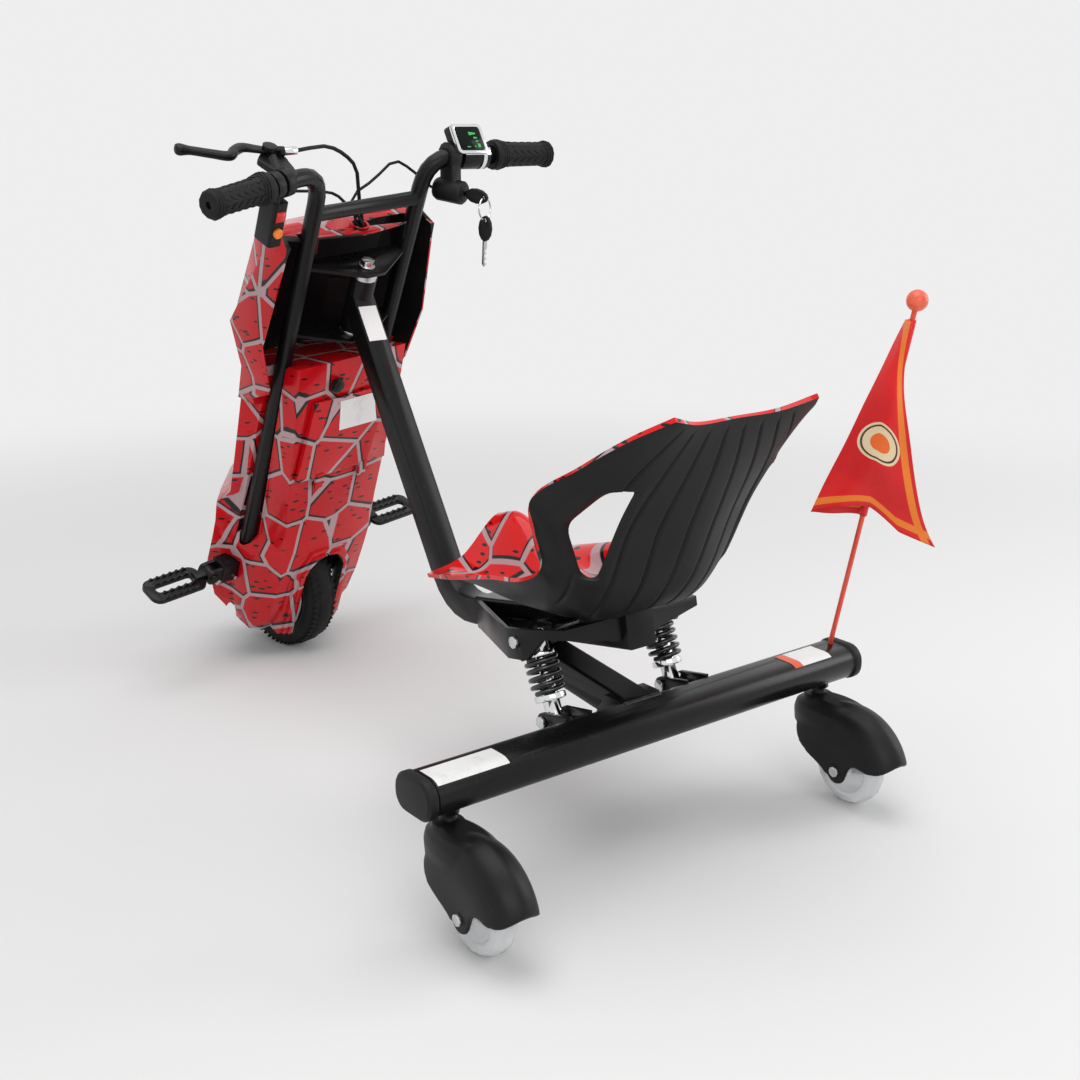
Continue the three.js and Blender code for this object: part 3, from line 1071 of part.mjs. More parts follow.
const lowerShares = [
  [-0.1 * HULL_DROP, [[0, 0.12], [0.665, 0.087], [0.665, -0.06], [0.71, -0.26], [0.84, -0.4], [0.7, -0.56],
    [0.4, -0.78], [0, -0.84]]],
  [-0.222 * HULL_DROP, [[0, 0.173], [0.65, 0.153], [0.65, -0.06], [0.71, -0.26], [0.85, -0.4], [0.72, -0.54],
    [0.4, -0.78], [0, -0.84]]],
  [-0.46 * HULL_DROP, [[0, 0.247], [0.607, 0.227], [0.607, -0.06], [0.71, -0.26], [0.83, -0.34], [0.7, -0.48],
    [0.39, -0.75], [0, -0.82]]],
  [-0.589 * HULL_DROP, [[0, 0.287], [0.579, 0.273], [0.579, -0.06], [0.71, -0.26], [0.83, -0.3], [0.7, -0.44],
    [0.385, -0.74], [0, -0.82]]],
  [-0.644 * HULL_DROP, [[0, 0.307], [0.568, 0.3], [0.568, -0.06], [0.72, -0.26], [0.87, -0.42], [0.72, -0.56],
    [0.39, -0.82], [0, -0.88]]],
  [-0.702 * HULL_DROP, [[0, 0.333], [0.553, 0.333], [0.56, -0.06], [0.72, -0.26], [0.87, -0.39], [0.72, -0.54],
    [0.39, -0.8], [0, -0.87]]],
  [-0.75 * HULL_DROP, [[0, 0.34], [0.55, 0.333], [0.7, 0.02], [0.735, -0.2], [0.87, -0.39], [0.72, -0.53],
    [0.38, -0.79], [0, -0.86]]],
  [-0.848 * HULL_DROP, [[0, 0.33], [0.543, 0.32], [0.71, 0.03], [0.74, -0.2], [0.87, -0.4], [0.71, -0.54],
    [0.37, -0.78], [0, -0.84]]],
  [-0.937 * HULL_DROP, [[0, 0.29], [0.532, 0.28], [0.67, 0.08], [0.7, -0.1], [0.83, -0.25], [0.68, -0.4],
    [0.34, -0.64], [0, -0.7]]],
  [-HULL_DROP, [[0, 0.21], [0.52, 0.2], [0.63, 0.13], [0.64, 0], [0.64, -0.12], [0.5, -0.3], [0.25, -0.42],
    [0, -0.45]]],
];

// A third value in a point lowers it by a share of the hull's height, as the wings' top corners are
function hullRing(level, shares, inset, rearward) {
  const half = shares.map(([x, q, low = 0]) => [x * HULL_HALF_W, q * HULL_NOSE, low * HULL_DROP]);
  const ring = [...half, ...half.slice(1, -1).map(([x, q, low]) => [-x, q, low]).reverse()];
  const shrunk = inset > 0 ? insetRing(ring, inset) : ring;
  return shrunk.map(([x, q], i) => vec(x, q > -0.14 * HULL_NOSE && rearward > 0 ? rearward : q, level + ring[i][2]));
}

// Moves each side of a closed outline inward by a distance
function insetRing(ring, distance) {
  const area = ring.reduce((sum, [x, y], i) => {
    const [x2, y2] = ring[(i + 1) % ring.length];
    return sum + x * y2 - x2 * y;
  }, 0);
  const turn = Math.sign(area);
  return ring.map(([x, y], i) => {
    const [xa, ya] = ring[(i + ring.length - 1) % ring.length];
    const [xb, yb] = ring[(i + 1) % ring.length];
    const before = new THREE.Vector2(x - xa, y - ya).normalize();
    const after = new THREE.Vector2(xb - x, yb - y).normalize();
    const normalOf = (d) => new THREE.Vector2(-d.y * turn, d.x * turn);
    const sum = normalOf(before).add(normalOf(after)).normalize();
    const reach = distance / Math.max(sum.dot(normalOf(before)), 0.5);
    return [x + sum.x * reach, y + sum.y * reach];
  });
}

function hull(rows, inset = 0, rearward = 0, topCut = 0) {
  const rings = rows.map(([level, shares], i) => hullRing(i === 0 ? level - topCut : level, shares, inset, rearward));
  return loft(rings);
}

// A box in the steering frame given by its limits
function span(x0, x1, q0, q1, s0, s1) {
  return block(x1 - x0, q1 - q0, s1 - s0, (x0 + x1) / 2, (q0 + q1) / 2, (s0 + s1) / 2);
}

const bothSides = (solid) => join(solid, mirrorX(solid));
const GROOVE_CLEAR = 1.5;
const channelX = UPRIGHT_X - BAR_R - GROOVE_CLEAR;
const channelFront = BAR_OFFSET - BAR_R - GROOVE_CLEAR;
const channelRear = BAR_OFFSET + BAR_R + GROOVE_CLEAR;
const WIDE = 2 * HULL_HALF_W;
const BODY_SIDE_X = 0.65 * HULL_HALF_W;
const WING_ROOM_X = 0.6 * HULL_HALF_W;
const WING_LOW_S = -0.3 * HULL_DROP; // the hood loft's lower end
const WING_FOOT_S = -0.285 * HULL_DROP;
const SHELF_Q = 22; // a point of the shelf's rear edge
const SHELF_S = -73;
const shelfAt = (q) => SHELF_S + (q - SHELF_Q) * Math.tan(rad(RAKE));

// Everything above the shelf, which lies level while the steering axis leans
function aboveShelf(drop) {
  const outline = [[-WIDE, shelfAt(-WIDE) - drop], [WIDE, shelfAt(WIDE) - drop], [WIDE, WIDE], [-WIDE, WIDE]];
  return slab(outline, -WIDE, WIDE, 'x');
}

// The space beside the battery body in which the uprights stand, and the space behind the wings
const uprightRoom = (grow, low, high) => bothSides(span(channelX - grow, WIDE, channelFront - grow, channelRear + grow,
  low - grow, high));
const wingRoom = (inner, low, high) => bothSides(span(inner, WIDE, channelRear - GROOVE_CLEAR, WIDE, low, high));

function doorPrism(halfTop, halfLow, top, low, proud, depth) {
  const at = (s) => doorFaceQ(s) + proud;
  const ring = (s, half) => [vec(-half, at(s) - depth, s), vec(half, at(s) - depth, s), vec(half, at(s), s),
    vec(-half, at(s), s)];
  return loft([ring(top, halfTop), ring(low, halfLow)]);
}
const doorFaceQ = (s) => DOOR_FACE_TOP_Q + ((DOOR_TOP_S - s) / (DOOR_TOP_S - DOOR_LOW_S)) * (DOOR_FACE_LOW_Q - DOOR_FACE_TOP_Q);

function wheelArch() {
  const round = rod(TYRE_R + ARCH_GAP, wheelMiddle.clone().setX(-ARCH_HALF_W), wheelMiddle.clone().setX(ARCH_HALF_W), 24);
  const shape = new THREE.Shape();
  const high = ARCH_TOP_S - ARCH_HALF_W;
  shape.moveTo(-ARCH_HALF_W, axleS - 2 * TYRE_R);
  shape.lineTo(ARCH_HALF_W, axleS - 2 * TYRE_R);
  shape.lineTo(ARCH_HALF_W, high);
  shape.absarc(0, high, ARCH_HALF_W, 0, Math.PI, false);
  return join(round, slab(shape, wheelMiddle.y, WIDE, 'y'));
}

// Stepped ridges that stand out round the wheel arch
function archRidges() {
  const steps = [1, 0.62, 0.3];
  const ridges = steps.map((share, i) => {
    const outer = ARCH_HALF_W + RIDGE_W * (steps.length - i) * 0.8;
    const high = ARCH_TOP_S - ARCH_HALF_W + RIDGE_W * (steps.length - i) * 0.35;
    const shape = new THREE.Shape();
    shape.moveTo(-outer, -HULL_DROP);
    shape.lineTo(outer, -HULL_DROP);
    shape.lineTo(outer, high);
    shape.lineTo(outer * 0.55, high + outer * 0.75);
    shape.lineTo(-outer * 0.55, high + outer * 0.75);
    shape.lineTo(-outer, high);
    return slab(shape, 0, RIDGE_FACE_Q + RIDGE_RISE * (1 - share), 'y');
  });
  return join(...ridges);
}

// What the fairing lets through: the door, the charge socket, the peg mounts and the cables
const CHARGE_X = 30;
const CHARGE_S = -109;
const CHARGE_R = 7.5;
const MOUNT_H = 30;
const MOUNT_D = 27;
const GLAND_Q = -29;
const GLAND_R = 10;
const GLAND_RIM = 3;
const BATTERY_W = 118;
const BATTERY_D = 50;
const BATTERY_H = 112;
const TRAY_T = 3;
const TRAY_FRONT_Q = -60;
const TRAY_REAR_Q = 18;
const TRAY_TOP_S = DOOR_LOW_S + DOOR_PROUD;

// The battery stands on a tray between the body's side walls
const batteryTray = () => span(-channelX + EDGE, channelX - EDGE, TRAY_FRONT_Q, TRAY_REAR_Q, TRAY_TOP_S - TRAY_T, TRAY_TOP_S);

function wallOpenings() {
  const door = doorPrism(DOOR_HALF_TOP + RUN, DOOR_HALF_LOW + RUN, DOOR_TOP_S + RUN, DOOR_LOW_S - RUN, DOOR_PROUD,
    4 * DOOR_PROUD);
  const charge = rod(CHARGE_R + GAP, vec(CHARGE_X, 0, CHARGE_S), vec(CHARGE_X, WIDE, CHARGE_S), 14);
  const mount = bothSides(span(UPRIGHT_X, WIDE, PEG_Q - MOUNT_D / 2 - RUN, PEG_Q + MOUNT_D / 2 + RUN,
    PEG_S - MOUNT_H / 2 - RUN, PEG_S + MOUNT_H / 2 + RUN));
  const gland = rod(GLAND_R, vec(0, GLAND_Q, HULL_TOP - OVERRUN), vec(0, GLAND_Q, HULL_TOP + OVERRUN), 16);
  return join(door, charge, mount, gland);
}

function fairing() {
  const below = (solid, drop) => cut(solid, aboveShelf(drop));
  const rim = rod(GLAND_R + GLAND_RIM, vec(0, GLAND_Q, HULL_TOP - HULL_WALL), vec(0, GLAND_Q, HULL_TOP + GLAND_RIM), 14);
  const behind = join(uprightRoom(0, WING_FOOT_S, WIDE), wingRoom(WING_ROOM_X, WING_FOOT_S, WIDE), aboveShelf(0));
  const hoodVoid = hull(upperShares, HULL_WALL, WIDE, HULL_WALL).intersect(behind);
  const wingFoot = wingRoom(WING_ROOM_X, WING_LOW_S - OVERRUN, WING_FOOT_S + OVERRUN);
  const notch = bothSides(span(UPRIGHT_X - BAR_R - GROOVE_CLEAR, UPRIGHT_X + BAR_R + GROOVE_CLEAR,
    channelFront, WIDE, HULL_TOP - 4 * HULL_WALL, HULL_TOP + OVERRUN));
  const hood = cut(join(hull(upperShares), rim), hoodVoid, wingFoot, notch);
  const footRoom = uprightRoom(0, GROOVE_FOOT_S, WING_FOOT_S + OVERRUN);
  const body = cut(join(below(hull(lowerShares), 0), archRidges()), uprightRoom(0, GROOVE_FOOT_S, WIDE));
  const inner = join(hull(upperShares, HULL_WALL), hull(lowerShares, HULL_WALL));
  const bodyVoid = cut(below(inner, HULL_WALL), uprightRoom(HULL_WALL, GROOVE_FOOT_S, WIDE),
    wingRoom(BODY_SIDE_X - HULL_WALL, WING_LOW_S - HULL_WALL, WIDE));
  const feet = bothSides(rod(BAR_R + GROOVE_CLEAR, vec(UPRIGHT_X, BAR_OFFSET, -HULL_DROP),
    vec(UPRIGHT_X, BAR_OFFSET, GROOVE_FOOT_S + 2 * BAR_R), 12));
  return join(cut(join(hood, body), footRoom, bodyVoid, feet, wheelArch(), wallOpenings()), batteryTray());
}
place('fairing', fairing(), finish.fairingRed, steering);

// Battery door: a raised panel hinged along its top edge, with two latch tabs below
const LATCH_X = 39;
const LATCH_W = 13;
const LATCH_L = 20;
const LATCH_T = 4;
const DOOR_T = 8;
const DOOR_PIN_R = 2.2;
function batteryCover() {
  const panel = doorPrism(DOOR_HALF_TOP, DOOR_HALF_LOW, DOOR_TOP_S, DOOR_LOW_S, DOOR_PROUD, DOOR_T);
  const q = doorFaceQ(DOOR_LOW_S) + DOOR_PROUD;
  const tab = span(LATCH_X - LATCH_W / 2, LATCH_X + LATCH_W / 2, q - LATCH_T * 0.6, q + LATCH_T * 0.4,
    DOOR_LOW_S - LATCH_L, DOOR_LOW_S + LATCH_T);
  const hingeQ = doorFaceQ(DOOR_TOP_S) + DOOR_PROUD - DOOR_PIN_R;
  const knuckle = rod(DOOR_PIN_R, vec(-DOOR_HALF_TOP, hingeQ, DOOR_TOP_S), vec(DOOR_HALF_TOP, hingeQ, DOOR_TOP_S), 10);
  return join(panel, bothSides(tab), knuckle);
}
place('battery_cover', batteryCover(), finish.fairingRed, steering);

// Inside the body: the battery behind its door, the motor controller, and the charge socket
const batteryQ = doorFaceQ(DOOR_TOP_S) + DOOR_PROUD - DOOR_T - GAP;
const batteryLowS = TRAY_TOP_S + GAP;
const BATTERY_CORNER = 5;
const batteryShape = roundRect(BATTERY_W, BATTERY_D, BATTERY_CORNER, 0, batteryQ - BATTERY_D / 2);
place('battery_pack', slab(batteryShape, batteryLowS, batteryLowS + BATTERY_H, 'z'), finish.battery, steering);

// The controller hangs under the tray, with its cooling fins to the front
const CONTROLLER_W = 86;
const CONTROLLER_D = 32;
const CONTROLLER_H = 100;
const FIN_T = 3;
const FIN_OUT = 5;
const controllerTop = TRAY_TOP_S - TRAY_T - GAP;
function controller() {
  const rear = TRAY_FRONT_Q + CONTROLLER_D + FIN_OUT;
  const low = controllerTop - CONTROLLER_H;
  const body = span(-CONTROLLER_W / 2, CONTROLLER_W / 2, TRAY_FRONT_Q + FIN_OUT, rear, low, controllerTop);
  const fins = [-2, -1, 0, 1, 2].map((i) => {
    const x = (i * CONTROLLER_W) / 5;
    return span(x - FIN_T / 2, x + FIN_T / 2, TRAY_FRONT_Q, TRAY_FRONT_Q + FIN_OUT + EDGE, low, controllerTop);
  });
  return join(body, ...fins);
}
place('motor_controller', controller(), finish.alloy, steering);

const CHARGE_DEPTH = 16;
const CAP_R = 9;
const CAP_THICK = 5;
const CAP_STRAP = 14;
const chargeFaceQ = HULL_NOSE * 0.165;
function chargeSocket() {
  const flange = CHARGE_R * 1.3;
  const profile = [[0, -CHARGE_DEPTH], [CHARGE_R, -CHARGE_DEPTH], [CHARGE_R, GAP], [flange, GAP],
    [flange, GAP + 2 * EDGE], [CHARGE_R * 0.7, GAP + 2 * EDGE], [CHARGE_R * 0.7, -CHARGE_DEPTH / 2],
    [0, -CHARGE_DEPTH / 2]];
  return turned(profile, vec(CHARGE_X, chargeFaceQ + EDGE, CHARGE_S), vec(0, 1, 0), 16);
}
const capQ = chargeFaceQ + EDGE + GAP + 2 * EDGE + GAP;
function chargeCap() {
  const plug = CHARGE_R * 0.7 - GAP;
  const cover = turned([[0, -CHARGE_DEPTH / 4], [plug, -CHARGE_DEPTH / 4], [plug, 0], [CAP_R, 0],
    [CAP_R, CAP_THICK * 0.6], [CAP_R * 0.7, CAP_THICK], [0, CAP_THICK]], vec(CHARGE_X, capQ, CHARGE_S), vec(0, 1, 0), 16);
  const strap = span(CHARGE_X - CAP_R / 2, CHARGE_X + CAP_R / 2, capQ, capQ + CAP_THICK / 2, CHARGE_S,
    CHARGE_S + CAP_STRAP);
  return join(cover, strap);
}
place('charge_socket', chargeSocket(), finish.plasticBlack, steering);
place('charge_cap', chargeCap(), finish.rubber, steering);

// Foot pegs: a clevis bolted to each upright, and a serrated loop that folds up
const EAR_T = 5;
const EAR_R = 13;
const TONGUE_W = 15;
const PEG_PIN_R = 4;
const mountX = UPRIGHT_X + BAR_R + GAP;
const pegPin = vec(PEG_ROOT_X, PEG_Q, PEG_S);

function pegMount() {
  const reach = PEG_ROOT_X - EAR_R - EDGE;
  const base = span(mountX, reach, PEG_Q - MOUNT_D / 2, PEG_Q + MOUNT_D / 2, PEG_S - MOUNT_H / 2, PEG_S + MOUNT_H / 2);
  const earOutline = new THREE.Shape();
  earOutline.moveTo(reach - EDGE, PEG_S + EAR_R * 0.9);
  earOutline.lineTo(PEG_ROOT_X, PEG_S + EAR_R * 0.9);
  earOutline.absarc(PEG_ROOT_X, PEG_S, EAR_R * 0.9, Math.PI / 2, -Math.PI / 2, true);
  earOutline.lineTo(reach - EDGE, PEG_S - EAR_R * 0.9);
  const inner = TONGUE_W / 2;
  const ears = join(slab(earOutline, PEG_Q + inner, PEG_Q + inner + EAR_T, 'y'),
    slab(earOutline, PEG_Q - inner - EAR_T, PEG_Q - inner, 'y'));
  const half = inner + EAR_T;
  const head = EAR_R * 0.5;
  const pin = turned([[0, -half - BOLT_HEAD_T], [head, -half - BOLT_HEAD_T], [head, -half + EDGE], [PEG_PIN_R, -half + EDGE],
    [PEG_PIN_R, half - EDGE], [head, half - EDGE], [head, half + BOLT_HEAD_T * 0.7], [0, half + BOLT_HEAD_T * 0.7]],
  pegPin, vec(0, 1, 0), 10);
  return join(base, ears, pin);
}

function zigzag(from, to, base, tooth, count) {
  const step = (to - from) / count;
  const teeth = Array.from({ length: count }, (_, i) => [[from + i * step, base], [from + (i + 0.5) * step, base + tooth]]);
  return [[from, base - PEG_T], ...teeth.flat(), [to, base], [to, base - PEG_T]];
}

function footPeg() {
  const start = PEG_ROOT_X + EAR_R + EDGE;
  const end = PEG_ROOT_X + PEG_LEN;
  const middle = (start + end) / 2;
  const length = end - start;
  const plate = roundRect(length, PEG_W, PEG_W * 0.3, middle, PEG_Q);
  const slot = roundRect(length * 0.7, PEG_W * 0.32, PEG_W * 0.15, middle, PEG_Q);
  const base = cut(slab(plate, PEG_S - PEG_T / 2, PEG_S + PEG_T / 2, 'z'),
    slab(slot, PEG_S - PEG_T, PEG_S + PEG_T, 'z'));
  const rail = (q0, q1, share, count) => slab(zigzag(middle - length * share, middle + length * share,
    PEG_S + PEG_T / 2, PEG_TOOTH, count), q0, q1, 'y');
  const edge = PEG_W / 2;
  const rim = PEG_W * 0.07;
  const rails = join(rail(PEG_Q + edge - rim - EDGE, PEG_Q + edge - EDGE, 0.36, 6),
    rail(PEG_Q - edge + EDGE, PEG_Q - edge + EDGE + rim, 0.36, 6),
    rail(PEG_Q + PEG_W * 0.16 + EDGE, PEG_Q + PEG_W * 0.16 + EDGE + rim, 0.33, 5),
    rail(PEG_Q - PEG_W * 0.16 - EDGE - rim, PEG_Q - PEG_W * 0.16 - EDGE, 0.33, 5));
  const tongueHalf = TONGUE_W / 2 - GAP;
  const hub = rod(EAR_R * 0.85, pegPin.clone().setY(PEG_Q - tongueHalf), pegPin.clone().setY(PEG_Q + tongueHalf), 14);
  const neck = span(PEG_ROOT_X, start + EAR_R, PEG_Q - tongueHalf, PEG_Q + tongueHalf, PEG_S - EAR_R * 0.5,
    PEG_S + EAR_R * 0.5);
  const hole = rod(PEG_PIN_R + GAP, pegPin.clone().setY(PEG_Q - PEG_W), pegPin.clone().setY(PEG_Q + PEG_W), 12);
  return cut(join(base, rails, hub, neck), hole);
}
place('peg_mount_left', pegMount(), finish.frameBlack, steering);
place('peg_mount_right', mirrorX(pegMount()), finish.frameBlack, steering);
place('foot_peg_left', footPeg(), finish.frameBlack, steering);
place('foot_peg_right', mirrorX(footPeg()), finish.frameBlack, steering);

// Grips: the left one is fixed, the right one is the throttle and turns on the bar
const GRIP_END_T = 3;
const GRIP_EYE_R = 4.5;
const gripStart = (sign) => onBar(sign * GRIP_X).addScaledVector(sign > 0 ? barOut : barOutRight, GRIP_END_T + GAP);
const inward = (sign) => (sign > 0 ? barOut : barOutRight).clone().negate();
function grip(sign, play) {
  const bore = BAR_R + play;
  const end = GRIP_LEN + GRIP_END_T;
  const profile = [[GRIP_EYE_R, 0], [GRIP_R * 0.9, 0], [GRIP_R * 1.06, 0.04 * end], [GRIP_R * 1.04, 0.1 * end],
    [GRIP_R * 0.94, 0.15 * end], [GRIP_R * 0.97, 0.75 * end], [GRIP_FLANGE_R, 0.9 * end],
    [GRIP_FLANGE_R, end], [bore, end], [bore, GRIP_END_T], [GRIP_EYE_R, GRIP_END_T], [GRIP_EYE_R, 0]];
  return turned(profile, gripStart(sign), inward(sign), 12);
}
place('grip_left', grip(1, 2 * GAP), finish.rubber, steering);
place('throttle_grip', grip(-1, 2 * GAP), finish.rubber, steering);

// The room that the bar takes in the clamps, and a clamp ring round it between two x places
const leftBarRoom = tube(barPath, BAR_R + 2 * GAP, 10);
const rightBarRoom = mirrorX(leftBarRoom);
const barRing = (x0, x1, radius) => rod(radius, onBar(x0), onBar(x1), 12);

// Display: it sits on the throttle's housing and tips up to the rider
const DISPLAY_X = -142;
const DISPLAY_TIP = 42; // degrees
const displayMiddle = onBar(DISPLAY_X).add(vec(0, 0.055 * DISPLAY_W, 0.55 * DISPLAY_W));
const tipSin = Math.sin(rad(DISPLAY_TIP));
const tipCos = Math.cos(rad(DISPLAY_TIP));
// x across, y down the slope to the rider, z out of the glass
const ontoDisplay = (solid) => solid.transform([1, barOutSlope, 0, 0, 0, tipCos, -tipSin, 0, 0, tipSin, tipCos, 0,
  displayMiddle.x, displayMiddle.y, displayMiddle.z, 1]);
const BEZEL = 4;
const HOUSING_OUT = 31;
const HOUSING_IN = 8;

function displayUnit() {
  const outline = roundRect(DISPLAY_W, DISPLAY_D, BEZEL * 1.5);
  const body = slab(outline, -DISPLAY_T, 0, 'z');
  const recess = slab(roundRect(DISPLAY_W - 2 * BEZEL, DISPLAY_D - 2 * BEZEL, BEZEL), -2 * EDGE, OVERRUN, 'z');
  const housing = barRing(DISPLAY_X - HOUSING_OUT, DISPLAY_X + HOUSING_IN, CLAMP_R + EDGE);
  const clamp = barRing(DISPLAY_X + HOUSING_IN + GAP, DISPLAY_X + DISPLAY_W, CLAMP_R + 2 * GAP);
  return cut(join(cut(ontoDisplay(cut(body, recess)), clamp), housing), rightBarRoom);
}

function displayScreen() {
  const edge = BEZEL + GAP;
  return ontoDisplay(slab(roundRect(DISPLAY_W - 2 * edge, DISPLAY_D - 2 * edge, BEZEL - GAP), -2 * EDGE + GAP, -GAP, 'z'));
}
place('display_unit', displayUnit(), finish.plasticBlack, steering);
place('display_screen', displayScreen(), finish.screen, steering);

// Key lock: a barrel hung below the bar, straight down while the steering axis leans
const LOCK_X = -118;
const LOCK_CLAMP_X = -121;
const LOCK_DROP = 45;
const worldDown = vec(0, tiltSin, -tiltCos);
const lockMiddle = onBar(LOCK_X).addScaledVector(worldDown, LOCK_DROP);
const lockDir = vec(-0.27, 0.93, 0.26).normalize();
const lockFace = lockMiddle.clone().addScaledVector(lockDir, LOCK_LEN / 2);
const LOCK_RING_R = 10.5;
const KEY_SLOT_DEPTH = 34;
const KEYHOLE_R = 3.6;

const smooth = (points, steps) => new THREE.CatmullRomCurve3(points).getPoints(steps);
const glandPoint = (x, q, s) => vec(x, GLAND_Q + q, s);
const inGland = HULL_TOP - OVERRUN;
const CABLE_SPREAD = 5;
const lockRear = lockMiddle.clone().addScaledVector(lockDir, -LOCK_LEN / 2);
const lockLeadPath = smooth([lockRear.clone().addScaledVector(lockDir, OVERRUN),
  lockRear.clone().addScaledVector(lockDir, -2 * OVERRUN), vec(-0.67 * HULL_HALF_W, 1.74 * GLAND_Q, 1.57 * HULL_TOP),
  vec(-0.49 * HULL_HALF_W, 2.07 * GLAND_Q, 1.685 * HULL_TOP), vec(-0.25 * HULL_HALF_W, 1.95 * GLAND_Q, 1.48 * HULL_TOP),
  vec(0, 1.8 * GLAND_Q, 1.28 * HULL_TOP), glandPoint(CABLE_SPREAD, -CABLE_SPREAD / 2, HULL_TOP + 2 * GLAND_RIM),
  glandPoint(CABLE_SPREAD, -CABLE_SPREAD / 2, inGland)], 15);

function keyLock() {
  const barrel = turned([[0, -LOCK_LEN / 2], [LOCK_R * 0.85, -LOCK_LEN / 2], [LOCK_R, -LOCK_LEN * 0.4],
    [LOCK_R, LOCK_LEN * 0.4], [LOCK_R * 0.85, LOCK_LEN * 0.46], [LOCK_RING_R, LOCK_LEN * 0.46],
    [LOCK_RING_R, LOCK_LEN / 2], [0, LOCK_LEN / 2]], lockMiddle, lockDir, 14);
  const neckHalf = LOCK_R * 0.5;
  const neck = loft([lockMiddle, onBar(LOCK_CLAMP_X)].map((at) =>
    [[-1, -1], [1, -1], [1, 1], [-1, 1]].map(([a, b]) => at.clone().add(vec(a * neckHalf, b * LOCK_R * 0.8, 0)))));
  const ring = barRing(LOCK_CLAMP_X - neckHalf, LOCK_CLAMP_X + neckHalf, CLAMP_R);
  const hole = rod(KEYHOLE_R, lockFace.clone().addScaledVector(lockDir, -KEY_SLOT_DEPTH),
    lockFace.clone().addScaledVector(lockDir, OVERRUN), 12);
  return cut(join(barrel, neck, ring), rightBarRoom, hole, tube(lockLeadPath, LEAD_R + GAP, 8));
}
place('key_lock', keyLock(), finish.plasticBlack, steering);

// Keys: an oval bow with a slot, and a notched blade. Drawn with the blade along -Y and the bow in X and Y.
const BOW_HOLE_R = 2.6;
const BOW_HOLE_AT = 0.82; // share of the bow's length
function keyBody() {
  const BOW_SIDES = 12;
  const bow = Array.from({ length: BOW_SIDES }, (_, i) => (2 * Math.PI * i) / BOW_SIDES)
    .map((turn) => [(KEY_BOW_W / 2) * Math.sin(turn), (KEY_BOW_L / 2) * (1 - Math.cos(turn))]);
  const w = KEY_BLADE_W / 2;
  const l = KEY_BLADE_L;
  const bladeShares = [[-1, 0.15], [-1, -0.9], [-0.3, -1], [0.3, -1], [1, -0.85], [0.4, -0.75], [0.9, -0.65],
    [0.3, -0.55], [0.8, -0.45], [0.5, -0.35], [1, -0.25], [1, 0.15]];
  const blade = slab(bladeShares.map(([x, y]) => [x * w * 0.8, y * l]), -KEY_BLADE_T / 2, KEY_BLADE_T / 2, 'z');
  const hole = rod(BOW_HOLE_R, vec(0, KEY_BOW_L * BOW_HOLE_AT, -KEY_T), vec(0, KEY_BOW_L * BOW_HOLE_AT, KEY_T), 12);
  return cut(join(slab(bow, -KEY_T / 2, KEY_T / 2, 'z', EDGE), blade), hole);
}

// Puts a solid with its X, Y and Z along three directions and its origin at a point
function framed(solid, x, y, z, at) {
  return solid.transform([...x.toArray(), 0, ...y.toArray(), 0, ...z.toArray(), 0, ...at.toArray(), 1]);
}
const keySide = vec(0, 0, 1).addScaledVector(lockDir, -lockDir.z).normalize(); // the bow stands upright
const keyOut = keySide.clone().cross(lockDir);
const keyFoot = lockFace.clone().addScaledVector(lockDir, GAP);
place('ignition_key', framed(keyBody(), keySide, lockDir, keyOut, keyFoot), finish.rubber, steering);

// A ring through the key's bow, and the spare key that hangs in it
const ringTop = keyFoot.clone().addScaledVector(lockDir, KEY_BOW_L * BOW_HOLE_AT);
const ringMiddle = ringTop.clone().addScaledVector(worldDown, RING_R);
const ringAcross = keyOut.clone().addScaledVector(worldDown, -keyOut.dot(worldDown)).normalize();
function keyRing() {
  const SIDES = 6;
  const wire = Array.from({ length: SIDES + 1 }, (_, i) => (2 * Math.PI * i) / SIDES)
    .map((turn) => [RING_R + RING_WIRE_R * Math.cos(turn), RING_WIRE_R * Math.sin(turn)]);
  return turned(wire, ringMiddle, ringAcross.clone().cross(worldDown), 18);
}
const spareTop = ringMiddle.clone().addScaledVector(worldDown, RING_R);
const SPARE_LEAN = 7; // degrees
const spareSide = worldDown.clone().cross(ringAcross);
const spareDown = worldDown.clone().applyAxisAngle(ringAcross, rad(SPARE_LEAN));
function spareKey() {
  const side = spareSide.clone().applyAxisAngle(ringAcross, rad(SPARE_LEAN));
  const up = spareDown.clone().negate();
  const foot = spareTop.clone().addScaledVector(spareDown, KEY_BOW_L * BOW_HOLE_AT);
  return framed(keyBody(), side, up, side.clone().cross(up), foot);
}
place('key_ring', keyRing(), finish.steel, steering);
place('spare_key', spareKey(), finish.rubber, steering);

// Brake: a perch clamped on the bar, with a dog-leg lever on its upright pin and a cable adjuster
const PERCH_X0 = 150;
const PERCH_X1 = 163;
const PIVOT_X = 150;
const PIVOT_Q = -52;
const PIVOT_S = 208;
const LEVER_T = 7;
const PERCH_R = 9;
const LEVER_PIN_R = 3;
const ADJUSTER_R = 5;
const ADJUSTER_LEN = 18;
const leverPivot = vec(PIVOT_X, PIVOT_Q, PIVOT_S);
const adjuster = vec(PIVOT_X - 2 * PERCH_R, PIVOT_Q + PERCH_R * 0.5, PIVOT_S);
const adjusterDir = vec(-1, 0.06, 0).normalize();

